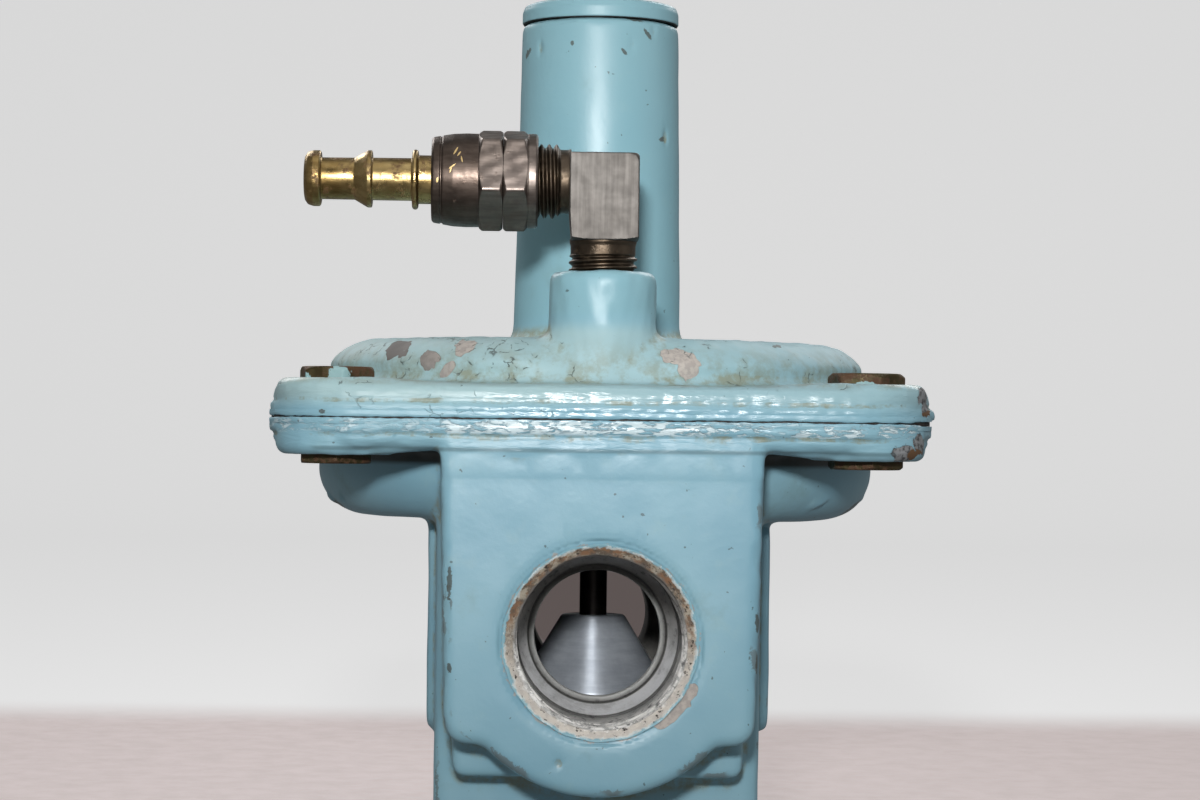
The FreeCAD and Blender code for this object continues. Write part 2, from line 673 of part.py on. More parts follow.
def guide_plate():
    """The baffle between valve chamber and diaphragm, with two sensing holes."""
    plate = cylinder(PLATE_POCKET_R - 0.1, PLATE_BOTTOM, PLATE_TOP)
    plate = plate.makeFillet(0.4, edges_at(plate, PLATE_TOP))
    holes = [cylinder(5.5, PLATE_BOTTOM - 1, PLATE_TOP + 1)]
    holes += [cylinder(2.0, PLATE_BOTTOM - 1, PLATE_TOP + 1, x) for x in (-15, 15)]
    return without(plate, holes)


def stem_bushing():
    """The flanged bronze bush that guides the stem."""
    bore_r = STEM_R + RUNNING_CLEARANCE
    return revolved([
        (bore_r, PLATE_BOTTOM - 2), (5.5, PLATE_BOTTOM - 2), (5.5, PLATE_TOP),
        (7.2, PLATE_TOP), (7.2, PLATE_TOP + 1.5), (bore_r, PLATE_TOP + 1.5),
    ])


def plate_circlip():
    """The internal snap ring that holds the guide plate, open at the back."""
    high = PLATE_TOP + CIRCLIP_THICK
    clip = ring(PLATE_POCKET_R - 3, CIRCLIP_GROOVE_R - 0.1, PLATE_TOP, high)
    eyes = [cylinder(2.4, PLATE_TOP, high, side * 5.6, PLATE_POCKET_R - 3.2)
            for side in (-1, 1)]
    clip = joined([clip] + eyes)
    gap = box(-3, 3, PLATE_POCKET_R - 8, PLATE_POCKET_R + 4, PLATE_TOP - 1, high + 1)
    pin_holes = [cylinder(0.9, PLATE_TOP - 1, high + 1, side * 5.6, PLATE_POCKET_R - 3.2)
                 for side in (-1, 1)]
    return without(clip, [gap] + pin_holes)


# --- spring, adjuster and cap -------------------------------------------------

def range_spring():
    """The range spring, one constant-pitch coil between its two seats."""
    high = UPPER_SEAT_BOTTOM - SPRING_BOTTOM - 2 * SPRING_WIRE_R
    helix = Part.makeHelix(high / SPRING_TURNS, high, SPRING_MEAN_R)
    section = Part.Wire(Part.makeCircle(SPRING_WIRE_R, Vector(SPRING_MEAN_R, 0, 0), BACK))
    coil = Part.Wire(helix).makePipeShell([section], True, True)
    coil.translate(Vector(0, 0, SPRING_BOTTOM + SPRING_WIRE_R))
    return coil


def upper_spring_seat():
    return revolved([
        (0, UPPER_SEAT_BOTTOM - SPRING_PILOT_HIGH),
        (SPRING_PILOT_R - 0.4, UPPER_SEAT_BOTTOM - SPRING_PILOT_HIGH),
        (SPRING_PILOT_R, UPPER_SEAT_BOTTOM), (SPRING_SEAT_R, UPPER_SEAT_BOTTOM),
        (SPRING_SEAT_R, UPPER_SEAT_TOP - 0.5), (SPRING_SEAT_R - 0.5, UPPER_SEAT_TOP),
        (0, UPPER_SEAT_TOP),
    ])


def adjusting_screw():
    """The threaded plug that presses the upper spring seat down."""
    plug = revolved([
        (0, UPPER_SEAT_TOP), (PLUG_R_IN_TOWER - 0.6, UPPER_SEAT_TOP),
        (PLUG_R_IN_TOWER, UPPER_SEAT_TOP + 0.6), (PLUG_R_IN_TOWER, ADJUSTER_TOP - 0.6),
        (PLUG_R_IN_TOWER - 0.6, ADJUSTER_TOP), (0, ADJUSTER_TOP),
    ])
    socket = hexagon(ADJUSTER_SOCKET_FLATS, ADJUSTER_TOP - ADJUSTER_SOCKET_DEEP,
                     ADJUSTER_TOP + 1)
    return plug.cut(socket)


def tower_cap():
    """The flush closing cap: a disc with a threaded spigot and a hexagon socket."""
    disc = cylinder(TOWER_TOP_R, GASKET_TOP, CAP_TOP)
    disc = disc.makeFillet(CAP_EDGE_R, edges_at(disc, CAP_TOP))
    spigot = cylinder(PLUG_R_IN_TOWER, GASKET_TOP - CAP_SPIGOT_LONG, GASKET_TOP + 0.5)
    socket = hexagon(CAP_SOCKET_FLATS, CAP_TOP - CAP_SOCKET_DEEP, CAP_TOP + 1)
    return joined([disc, spigot]).cut(socket)


def cap_gasket():
    return ring(PLUG_R_IN_TOWER + RUNNING_CLEARANCE, TOWER_TOP_R - 0.2, TOWER_TOP,
                GASKET_TOP)


# --- loading line -------------------------------------------------------------

def elbow_block():
    """Square bar stock, turned off conically where each leg leaves it."""
    block = box(-ELBOW_HALF, ELBOW_HALF, -ELBOW_HALF, ELBOW_HALF,
                ELBOW_BOTTOM, ELBOW_TOP)
    diagonal = ELBOW_HALF * math.sqrt(2)
    below = revolved([(0, ELBOW_BOTTOM), (ELBOW_HALF + 0.2, ELBOW_BOTTOM),
                      (diagonal, ELBOW_BOTTOM + 1.1), (diagonal, ELBOW_TOP),
                      (0, ELBOW_TOP)])
    block = block.common(below)
    top_corner = [edge for edge in block.Edges
                  if edge.BoundBox.YLength > 10
                  and edge.CenterOfMass.x > 0 and edge.CenterOfMass.z > ELBOW_TOP - 0.1]
    block = block.makeFillet(0.9, top_corner)
    block.translate(Vector(0, LOADING_Y, 0))
    reach = ELBOW_HALF + 6
    side_limit = turned_along_hose([(0, -ELBOW_HALF), (9.4, -ELBOW_HALF),
                                    (reach + 3, -ELBOW_HALF + 1.6),
                                    (reach + 3, ELBOW_HALF), (0, ELBOW_HALF)])
    return block.common(side_limit)


def pipe_elbow():
    """A square-bodied 90 degree pipe elbow with two threaded legs."""
    leg_top = ELBOW_BOTTOM - ELBOW_LEG_NECK_LONG
    lower_leg = cylinder(ELBOW_LEG_R, LOADING_HOLE_BOTTOM + 1, leg_top)
    lower_leg = without(lower_leg, thread_grooves(ELBOW_LEG_R, leg_top - 2 * THREAD_PITCH,
                                                  leg_top + 0.01))
    lower_neck = cylinder(ELBOW_LEG_NECK_R, leg_top - 0.5, ELBOW_BOTTOM + 1)
    lower = joined([lower_leg, lower_neck])
    lower.translate(Vector(0, LOADING_Y, 0))
    leg_start = ELBOW_HALF + ELBOW_SIDE_NECK_LONG
    side_leg = cylinder(ELBOW_SIDE_LEG_R, leg_start, -ELBOW_LEG_END)
    side_leg = without(side_leg, thread_grooves(ELBOW_SIDE_LEG_R, leg_start,
                                                -NUT_COLLAR_START + 0.4))
    side_neck = cylinder(ELBOW_SIDE_NECK_R, ELBOW_HALF - 1, leg_start + 0.5)
    side = along_hose(joined([side_leg, side_neck]))
    bores = [cylinder(ELBOW_BORE_R, LOADING_HOLE_BOTTOM, HOSE_Z, 0, LOADING_Y),
             along_hose(cylinder(ELBOW_BORE_R, -1.0, -ELBOW_LEG_END + 1))]
    return without(joined([elbow_block(), lower, side]), bores)


def swivel_nut():
    """Collar and hexagon that pull the hose end onto the elbow."""
    hexagon_part = chamfered_hexagon(HOSE_HEX_FLATS, -NUT_HEX_START, -NUT_HEX_END,
                                     0.5, 0, 0, HOSE_HEX_TURN)
    collar = cylinder(NUT_COLLAR_R, -NUT_COLLAR_START, -NUT_HEX_START + 0.5)
    collar = collar.makeFillet(0.4, edges_at(collar, -NUT_COLLAR_START))
    lip = -NUT_HEX_END - 1.0
    bores = [cylinder(ELBOW_SIDE_LEG_R + RUNNING_CLEARANCE, -NUT_COLLAR_START - 1, lip),
             cylinder(NOSE_R + RUNNING_CLEARANCE, lip - 1, -NUT_HEX_END + 1)]
    return along_hose(without(joined([hexagon_part, collar]), bores))


def swivel_wire():
    """The round wire ring that keeps the nose of the hose end in the nut."""
    middle = -NUT_HEX_END - 1.0 - SWIVEL_WIRE_R - 0.02
    return along_hose(Part.makeTorus(NOSE_R + SWIVEL_WIRE_R + 0.08, SWIVEL_WIRE_R,
                                     Vector(0, 0, middle), UP))


def hose_end_body():
    """Hexagon and tapered barrel, with a flanged nose inside the nut."""
    hexagon_part = chamfered_hexagon(HOSE_HEX_FLATS, -NUT_HEX_END + 0.05,
                                     -HOSE_HEX_END, 0.5, 0, 0, HOSE_HEX_TURN)
    barrel = turned_along_hose([
        (0, HOSE_HEX_END + 1), (BARREL_R, HOSE_HEX_END + 1), (BARREL_R, -25.6),
        (BARREL_R - 0.12, -27.8), (8.2, -29.8), (7.9, -29.9), (7.9, -30.2), (8.1, -30.3),
        (BARREL_END_R, BARREL_END + 0.3), (BARREL_END_R - 0.3, BARREL_END),
        (0, BARREL_END),
    ])
    flange_end = -NUT_HEX_END - 2.2
    nose = turned_along_hose([
        (0, ELBOW_LEG_END - 0.05), (NOSE_FLANGE_R - 0.8, ELBOW_LEG_END - 0.05),
        (NOSE_FLANGE_R, ELBOW_LEG_END - 0.4), (NOSE_FLANGE_R, -flange_end),
        (NOSE_R, -flange_end), (NOSE_R, NUT_HEX_END - 1), (0, NUT_HEX_END - 1),
    ])
    whole = joined([along_hose(hexagon_part), barrel, nose])
    bores = [along_hose(cylinder(BARB_NECK_R, -BARB_SHANK_START, -BARREL_END + 1)),
             along_hose(cylinder(3.0, -ELBOW_LEG_END - 1, -BARB_SHANK_START + 1))]
    return without(whole, bores)


def hose_barb():
    """The turned brass barb: shank, bead, ridge and domed tip."""
    tip_middle = (BARB_TIP_START + BARB_TIP_END) / 2
    turned = turned_along_hose([
        (BARB_BORE_R, BARB_SHANK_START), (BARB_NECK_R, BARB_SHANK_START),
        (BARB_NECK_R, BARB_NECK_END), (BARB_BEAD_R - 0.3, BARB_NECK_END),
        (BARB_BEAD_R, BARB_NECK_END - 0.3), (BARB_BEAD_R, BARB_BEAD_END + 0.3),
        (BARB_BEAD_R - 0.3, BARB_BEAD_END), (BARB_TUBE_R, BARB_BEAD_END),
        (BARB_TUBE_R, BARB_RIDGE_START), (BARB_RIDGE_R, BARB_RIDGE_START),
        (BARB_RIDGE_R, BARB_RIDGE_START - 0.4), (BARB_TUBE_R - 0.1, BARB_RIDGE_END),
        (BARB_TUBE_R - 0.1, BARB_TIP_START), (BARB_TIP_R - 0.3, BARB_TIP_START),
        (BARB_TIP_R, BARB_TIP_START - 0.3), (BARB_TIP_R, tip_middle),
        (BARB_TIP_R - 0.5, BARB_TIP_END + 0.5), (BARB_TIP_R - 1.4, BARB_TIP_END),
        (BARB_BORE_R, BARB_TIP_END),
    ])
    return turned


# --- every node ---------------------------------------------------------------

PIECES = {
    "lower_body": lower_body(),
    "upper_cover": upper_cover(),
    "flange_bolts": Part.makeCompound([flange_bolt(x, y) for x, y in CORNERS]),
    "flange_nuts": Part.makeCompound([flange_nut(x, y) for x, y in CORNERS]),
    "diaphragm": diaphragm(),
    "lower_diaphragm_plate": diaphragm_plate(LOWER_PLATE_BOTTOM, False),
    "upper_diaphragm_plate": diaphragm_plate(CENTRE_TOP, True),
    "stem_jam_nut": nut_on_stem(JAM_NUT_FLATS, LOWER_PLATE_BOTTOM - JAM_NUT_HIGH,
                                LOWER_PLATE_BOTTOM),
    "lock_washer": lock_washer(),
    "stem_nut": nut_on_stem(JAM_NUT_FLATS, UPPER_PLATE_TOP + LOCK_WASHER_THICK,
                            UPPER_PLATE_TOP + LOCK_WASHER_THICK + STEM_NUT_HIGH, 30),
    "lower_spring_seat": lower_spring_seat(),
    "valve_stem": valve_stem(),
    "valve_plug": valve_plug(),
    "valve_disc": ring(STEM_R, DISC_R, DISC_BOTTOM, DISC_TOP),
    "disc_washer": ring(STEM_R, DISC_WASHER_R, DISC_BOTTOM - DISC_WASHER_THICK, DISC_BOTTOM),
    "disc_nut": nut_on_stem(DISC_NUT_FLATS, STEM_BOTTOM + 0.8,
                            DISC_BOTTOM - DISC_WASHER_THICK),
    "seat_ring": seat_ring(),
    "seat_seal": seat_seal(),
    "guide_plate": guide_plate(),
    "stem_bushing": stem_bushing(),
    "plate_circlip": plate_circlip(),
    "range_spring": range_spring(),
    "upper_spring_seat": upper_spring_seat(),
    "adjusting_screw": adjusting_screw(),
    "tower_cap": tower_cap(),
    "cap_gasket": cap_gasket(),
    "pipe_elbow": pipe_elbow(),
    "swivel_nut": swivel_nut(),
    "swivel_wire": swivel_wire(),
    "hose_end_body": hose_end_body(),
    "hose_barb": hose_barb(),
}

os.makedirs("parts", exist_ok=True)
for node, shape in PIECES.items():
    shape.exportStep(f"parts/{node}.step")
    print(node, "valid" if shape.isValid() else "NOT VALID", len(shape.Solids),
          "solids", round(shape.Volume), "mm3")
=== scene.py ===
"""Looks for the air pressure regulator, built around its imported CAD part.

Lengths in this script are millimetres; they are scaled to metres where Blender takes them.
X is to the right, Y to the back and Z up, as in the CAD part.
"""

import math

import bmesh
import bpy
import numpy as np
from mathutils import Matrix, Vector


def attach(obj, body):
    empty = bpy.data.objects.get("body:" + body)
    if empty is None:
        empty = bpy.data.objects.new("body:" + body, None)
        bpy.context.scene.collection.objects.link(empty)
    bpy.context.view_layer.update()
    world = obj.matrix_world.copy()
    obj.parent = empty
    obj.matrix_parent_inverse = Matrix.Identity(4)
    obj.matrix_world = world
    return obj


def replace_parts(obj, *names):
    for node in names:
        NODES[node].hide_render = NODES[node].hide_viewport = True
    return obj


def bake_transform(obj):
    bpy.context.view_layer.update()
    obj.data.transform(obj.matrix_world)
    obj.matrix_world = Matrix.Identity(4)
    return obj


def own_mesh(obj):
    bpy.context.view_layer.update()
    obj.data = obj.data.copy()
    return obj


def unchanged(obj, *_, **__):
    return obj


MM = 0.001
TAU = 2 * math.pi

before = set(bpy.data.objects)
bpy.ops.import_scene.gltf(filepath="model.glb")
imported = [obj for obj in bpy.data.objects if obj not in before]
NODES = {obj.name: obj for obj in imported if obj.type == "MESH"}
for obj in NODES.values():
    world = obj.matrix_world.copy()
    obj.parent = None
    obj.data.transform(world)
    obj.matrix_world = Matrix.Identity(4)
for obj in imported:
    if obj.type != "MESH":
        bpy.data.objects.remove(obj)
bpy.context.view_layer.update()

# --- places shared with the CAD part ------------------------------------------

SEAM_Z = 88.0
FLANGE_HALF = 60.9
FLANGE_CORNER_R = 16.5
BOLT_XY = 48.4
PORT_Z = 48.1
PORT_FACE_Y = 60.5
PORT_THREAD_R = 15.9
PORT_PITCH = 2.209
LOADING_Y = -41.5
HOSE_Z = 132.0
HOSE_HEX_TURN = math.radians(14)
HEX_HALF_INCH = 12.7
TOWER_R = 16.0
PIPE_PITCH = 1.41
CAP_PITCH = 1.5
SPRING_LOW, SPRING_MIDDLE, SPRING_HIGH = 88.0, 117.25, 146.5
CORNERS = [(x, y) for x in (-BOLT_XY, BOLT_XY) for y in (-BOLT_XY, BOLT_XY)]


# --- small maths --------------------------------------------------------------

def ramp(value, low, high):
    """0 below low, 1 above high and a smooth step between; low may be above high."""
    share = np.clip((value - low) / (high - low), 0, 1)
    return share * share * (3 - 2 * share)


def bump_at(distance, radius):
    """1 at distance 0, falling smoothly to 0 at the radius."""
    return ramp(distance, radius, 0)


def soft_min(a, b, blend):
    """The smaller of two values, rounded over where they cross."""
    share = np.clip(0.5 + 0.5 * (b - a) / blend, 0, 1)
    return b + (a - b) * share - blend * share * (1 - share)


def wobble(points, size, seed):
    """A smooth random value from about -1 to 1 at each point, changing every size mm."""
    source = np.random.default_rng(seed)
    total = np.zeros(len(points))
    for _ in range(7):
        direction = source.normal(size=3)
        direction *= TAU / size / np.linalg.norm(direction) * source.uniform(0.6, 1.3)
        total += np.sin(points @ direction + source.uniform(0, TAU))
    return total / 3.2


# --- mesh building ------------------------------------------------------------

def in_scene(name, data):
    made = bpy.data.objects.new(name, data)
    bpy.context.scene.collection.objects.link(made)
    return made


def new_object(name, points, faces, material, body="housing", node=None, slot=None, sharp=38):
    """A mesh object from millimetre points, riding on a body in place of a CAD node."""
    mesh = bpy.data.meshes.new(name)
    mesh.from_pydata((np.asarray(points, float) * MM).tolist(), [], faces)
    shape = bmesh.new()
    shape.from_mesh(mesh)
    bmesh.ops.remove_doubles(shape, verts=shape.verts, dist=2e-7)
    bmesh.ops.recalc_face_normals(shape, faces=shape.faces)
    shape.to_mesh(mesh)
    shape.free()
    mesh.shade_smooth()
    mesh.set_sharp_from_angle(angle=math.radians(sharp))
    mesh.materials.append(material)
    made = in_scene(name, mesh)
    for tell, value in ((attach, body), (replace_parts, node), (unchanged, slot)):
        if value:
            tell(made, value)
    return made


def rounded(outline, radius, steps=4, closed=False):
    """The outline with each corner drawn as a small curve."""
    outline = [np.array(point, float) for point in outline]
    count = len(outline)
    result = []
    for index, corner in enumerate(outline):
        if not closed and index in (0, count - 1):
            result.append(corner)
            continue
        before = outline[index - 1] - corner
        after = outline[(index + 1) % count] - corner
        reach = min(radius, 0.45 * np.linalg.norm(before), 0.45 * np.linalg.norm(after))
        start = corner + before / max(np.linalg.norm(before), 1e-9) * reach
        end = corner + after / max(np.linalg.norm(after), 1e-9) * reach
        for step in range(steps + 1):
            t = step / steps
            result.append(start * (1 - t) ** 2 + corner * 2 * t * (1 - t) + end * t * t)
    return result


def finer(outline, longest, closed=False):
    """The outline with extra points, so that no step is longer than longest."""
    points = [np.array(point, float) for point in outline]
    if closed:
        points.append(points[0])
    result = []
    for here, there in zip(points, points[1:]):
        parts = max(1, math.ceil(np.linalg.norm(there - here) / longest))
        result += [here + (there - here) * part / parts for part in range(parts)]
    if not closed:
        result.append(points[-1])
    return result


def upright(x, y):
    """Places a turned piece on a vertical axis."""
    return lambda along, u, v: (x + u, y + v, along)


def hose_line(along, u, v):
    """Places a turned piece on the hose axis; along is X."""
    return along, LOADING_Y + u, HOSE_Z + v


def into_port(toward):
    """Places a turned piece on a side port's axis; along is the depth from its face."""
    return lambda along, u, v: (u, toward * (PORT_FACE_Y - along), PORT_Z + v)


def quad_grid(rows, columns, closed_rows=False, closed_columns=True, first=0):
    """Quads over rows of points; closed also joins the last row or column to the first."""
    faces = []
    for row in range(rows if closed_rows else rows - 1):
        low, high = first + row * columns, first + (row + 1) % rows * columns
        for column in range(columns if closed_columns else columns - 1):
            after = (column + 1) % columns
            faces.append((low + column, low + after, high + after, high + column))
    return faces


def turned(name, outline, place, material, body="housing", node=None, slot=None,
           segments=144, shape=None, closed=False, sharp=38):
    """A piece turned from (along, radius) points; shape can change radius by angle."""
    line = np.array(outline)
    angles = TAU * np.arange(segments) / segments
    along, angle = np.meshgrid(line[:, 0], angles, indexing="ij")
    radius = np.repeat(line[:, 1:2], segments, axis=1)
    if shape:
        radius = shape(radius, along, angle)
    x, y, z = place(along, radius * np.cos(angle), radius * np.sin(angle))
    points = np.stack(np.broadcast_arrays(x, y, z), axis=-1).reshape(-1, 3)
    faces = quad_grid(len(line), segments, closed)
    return new_object(name, points, faces, material, body, node, slot, sharp)


def hexagon_reach(angle, flats, turn):
    """How far a hexagon's side lies from its axis in the direction angle."""
    return flats / 2 / np.cos((angle - turn) % (TAU / 6) - TAU / 12)


def hexagon_cut(flats, turn, edge, inner, dent=None, upper=math.inf, lower=-math.inf):
    """A shape for turned(): six flats outside the inner radius, between two places."""
    def shape(radius, along, angle):
        flat = soft_min(radius, hexagon_reach(angle, flats, turn), edge)
        if dent:
            flat = flat + dent(along, angle)
        return np.where((radius > inner) & (along < upper) & (along > lower), flat, radius)
    return shape


def helix(along, angle, pitch):
    """A rounded thread form from 0 at the root to 1 at the crest."""
    phase = (along / pitch - angle / TAU) % 1.0
    return ramp(1 - np.abs(2 * phase - 1), 0.12, 0.88)


# --- materials ----------------------------------------------------------------

def srgb(red, green, blue):
    """A screen colour (0 to 255) as the linear colour that shaders use."""
    values = [channel / 255 for channel in (red, green, blue)]
    linear = [v / 12.92 if v < 0.04045 else ((v + 0.055) / 1.055) ** 2.4 for v in values]
    return (*linear, 1.0)


class Shader:
    """A material's node tree, with a short way to add nodes and join them."""

    def __init__(self, name):
        self.material = bpy.data.materials.new(name)
        self.material.use_nodes = True
        self.tree = self.material.node_tree
        self.surface = self.tree.nodes["Principled BSDF"]
        self.place = self.add("TexCoord").outputs["Object"]
        self.coordinates = {}

    def add(self, kind, settings=None, **inputs):
        node = self.tree.nodes.new("ShaderNode" + kind)
        for key, value in (settings or {}).items():
            setattr(node, key, value)
        for key, value in inputs.items():
            self.put(node, key, value)
        return node

    def put(self, node, key, value):
        """Sets an input, or joins a node's output to it; in2 is the third input."""
        if key.startswith("in"):
            socket = node.inputs[int(key[2:])]
        else:
            socket = node.inputs[key.replace("_", " ")]
        if isinstance(value, bpy.types.NodeSocket):
            self.tree.links.new(value, socket)
        else:
            socket.default_value = value

    def noise(self, size, detail=3.0, rough=0.55, warp=0.0, stretch=None):
        """Noise with features about size mm across; its mean is 0.5."""
        spot = self.place
        if stretch:
            spot = self.add("Mapping", in0=spot, in3=stretch).outputs[0]
        node = self.add("TexNoise", Vector=spot, Scale=1 / (size * MM), Detail=detail,
                        Roughness=rough, Distortion=warp)
        return node.outputs["Fac"]

    def math(self, operation, a, b=0.0, c=0.0):
        node = self.add("Math", {"operation": operation}, in0=a, in1=b, in2=c)
        return node.outputs[0]

    def times(self, product, *others):
        for other in others:
            product = self.math("MULTIPLY", product, other)
        return product

    def largest(self, values):
        whole = values[0]
        for value in values[1:]:
            whole = self.math("MAXIMUM", whole, value)
        return whole

    def between(self, value, low, high, to_low=0.0, to_high=1.0):
        """Maps low..high to to_low..to_high, smooth and clamped."""
        node = self.add("MapRange", {"interpolation_type": "SMOOTHSTEP"}, Value=value)
        for socket, number in zip(node.inputs[1:5], (low, high, to_low, to_high)):
            socket.default_value = number
        return node.outputs[0]

    def band(self, value, start, full, falling, end):
        """1 from full to falling, and 0 before start and after end."""
        return self.times(self.between(value, start, full), self.between(value, end, falling))

    def frayed(self, value, noise, amount):
        """The value moved up and down by noise, which makes a mask's edge ragged."""
        return self.math("ADD", value, self.math("MULTIPLY_ADD", noise, amount, -amount / 2))

    def blend(self, share, first, second, kind="MIX"):
        """Mixes two colours, each a node's output or a screen colour."""
        node = self.add("Mix", {"data_type": "RGBA", "blend_type": kind}, in0=share)
        for key, tone in (("in6", first), ("in7", second)):
            self.put(node, key, srgb(*tone) if isinstance(tone, tuple) else tone)
        return node.outputs[2]

    def coat(self, color, mask, over, share):
        """The colour with a share of another over it where the mask is."""
        return self.blend(self.times(mask, share), color, over)

    def axis(self, letter):
        """One coordinate of the piece, in millimetres."""
        if not self.coordinates:
            parts = self.add("SeparateXYZ", in0=self.place).outputs
            self.coordinates = {key: self.math("MULTIPLY", parts[key], 1 / MM) for key in "XYZ"}
        return self.coordinates[letter]

    def away_from(self, middle, across):
        """Millimetres from a middle, counting only the directions that are 1 in across."""
        scale = [share / MM for share in across]
        back = [-share * place for share, place in zip(across, middle)]
        step = self.add("VectorMath", {"operation": "MULTIPLY_ADD"}, in0=self.place, in1=scale,
                        in2=back)
        return self.add("VectorMath", {"operation": "LENGTH"}, in0=step.outputs[0]).outputs["Value"]

    def spot(self, x, y, z, wide, high, turn=0.0, deep=9.0):
        """1 at a point falling to 0 at an ellipse around it, seen from the front."""
        move = self.add("Mapping", {"vector_type": "TEXTURE"}, in0=self.place)
        move.inputs[1].default_value = (x * MM, y * MM, z * MM)
        move.inputs[2].default_value = (0, math.radians(turn), 0)
        move.inputs[3].default_value = (wide * MM, deep * MM, high * MM)
        ball = self.add("TexGradient", {"gradient_type": "SPHERICAL"}, in0=move.outputs[0])
        return ball.outputs["Fac"]

    def spots(self, places):
        """The strongest of several spots."""
        return self.largest([self.spot(*place) for place in places])

    def raised(self, height, distance, strength=1.0, below=None):
        """A bump of distance mm, on top of the bump below."""
        node = self.add("Bump", Strength=strength, Distance=distance * MM, Height=height)
        if below is not None:
            self.put(node, "Normal", below)
        return node.outputs[0]

    def finish(self, color, roughness, metallic, **others):
        sockets = {"Base Color": color, "Roughness": roughness, "Metallic": metallic, **others}
        for key, value in sockets.items():
            self.put(self.surface, key, value)
        return self.material


# Marks in the paint: x, y, z, half width, half height, clockwise turn, half depth.
PRIMER_CHIPS = [
    (-37.9, -32.2, 100.8, 3.6, 3.5, -30), (-31.8, -39.8, 98.6, 3.3, 2.5, -10),
    (-25.2, -42.0, 100.9, 3.5, 2.7, -35), (-28.6, -43.0, 96.8, 2.9, 1.4, -45),
    (14.2, -48.2, 99.6, 5.6, 2.6, 8), (15.4, -49.0, 97.6, 2.8, 3.8, -10),
    (13.4, -60.4, 35.9, 2.0, 6.4, 48, 3), (15.6, -60.4, 38.6, 1.8, 4.0, 38, 3),
    (-20.0, 47.0, 99.5, 6.0, 3.4, 20), (29.0, 44.0, 100.5, 5.0, 3.0, -30)]
DARK_NICKS = [
    (-14.3, -6.1, 159.9, 1.7, 0.6, -60, 4), (-5.8, -14.4, 161.0, 0.5, 0.8, 0, 4),
    (4.3, -15.0, 159.4, 1.3, 0.55, 48, 4), (8.9, -12.7, 163.2, 1.6, 0.55, 52, 4),
    (12.0, -10.3, 143.0, 0.8, 0.8, 0, 4), (6.5, -14.0, 165.9, 2.6, 0.6, 8, 4),
    (-49.8, -9.6, 70.8, 2.6, 1.3, 40, 6), (49.5, -14.0, 71.4, 4.4, 0.7, -36, 8),
    (33.0, -33.5, 102.2, 1.8, 0.5, 0, 6), (-50.4, -58.4, 88.9, 1.0, 0.6, 0, 6),
    (28.1, -60.0, 52.0, 0.7, 2.4, 0, 3), (28.3, -59.6, 44.5, 0.7, 3.0, 0, 3),
    (-27.2, -60.4, 58.5, 0.7, 4.4, 0, 3), (-27.0, -60.4, 43.4, 0.7, 1.2, 0, 3),
    (28.7, -59.4, 33.0, 0.8, 2.6, 0, 3)]
SCRAPED_CORNER = [
    (58.6, -52.5, 93.0, 3.2, 3.4, 0, 6), (59.2, -52.0, 90.6, 2.6, 2.4, 0, 6),
    (54.8, -57.0, 82.6, 5.2, 2.6, 0, 6), (57.8, -55.0, 84.2, 3.0, 3.6, 0, 6)]
RUSTY_CORNER = [(59.8, -50.0, 89.4, 4.0, 1.5, 0, 9), (56.6, -55.0, 82.4, 2.6, 1.6, 0, 6)]
PAINT_ON_BOLTS = [
    (-47.6, -55.3, 95.0, 3.2, 3.6, 0, 3.0), (47.4, -55.0, 94.6, 4.2, 1.5, 0, 3.0),
    (-53.5, -54.0, 94.0, 1.4, 3.0, 0, 3.0)]
BARREL_SCRATCHES = [
    (-27.3, -48.7, 136.9, 0.22, 1.3, 28, 2), (-26.7, -49.0, 136.3, 0.20, 1.0, 34, 2),
    (-26.2, -49.3, 135.3, 0.20, 1.0, -12, 2), (-27.9, -49.9, 133.9, 0.22, 1.2, 52, 2),
    (-28.2, -50.0, 133.2, 0.20, 0.9, 20, 2), (-30.6, -49.6, 131.4, 0.30, 0.8, 5, 2)]


def paint_colour(s, patch, middle):
    """Teal-blue paint, chalky on the cover and greener on the tower."""
    height = s.axis("Z")
    color = s.blend(s.between(patch, 0.34, 0.66), (128, 172, 189), (140, 182, 196))
    color = s.blend(s.between(middle, 0.55, 0.8, 0.0, 0.35), color, (150, 184, 188))
    chalk = s.times(s.band(height, 89.0, 92.5, 103.5, 107.0),
                    s.between(s.axis("X"), -20, 30, 0.64, 0.40))
    color = s.blend(chalk, color, (172, 196, 193))
    return s.blend(s.between(height, 103.5, 109.0, 0.0, 0.6), color, (130, 172, 180))


def paint_dirt(s, edge):
    """Dirt where the dome meets the flange, in hollows and round the boss foot."""
    shelf = s.band(s.axis("Z"), 93.5, 95.0, 96.0, 104.5)
    hollow = s.between(edge, -0.06, -0.32)
    dirt = s.largest([s.times(hollow, 0.75), s.times(shelf, 0.55)])
    return s.times(dirt, s.between(s.noise(4.5, 5, 0.7), 0.40, 0.64))


def painted_lip_highlights(s):
    """Painted highlights: white specks on the lip under the seam, fewer towards its ends."""
    lip = s.band(s.axis("Z"), 84.9, 85.7, 87.2, 88.2)
    sparser = s.math("ADD", s.between(s.axis("X"), 6, 24, 0.0, -0.085),
                     s.between(s.axis("X"), -18, -32, 0.0, -0.065))
    broken = s.math("ADD", s.noise(1.5, 4, 0.7, 0.6, stretch=(0.42, 0.42, 1.6)), sparser)
    run = s.between(s.noise(22, 2), 0.32, 0.52)
    return s.times(s.between(broken, 0.42, 0.51), lip, run)


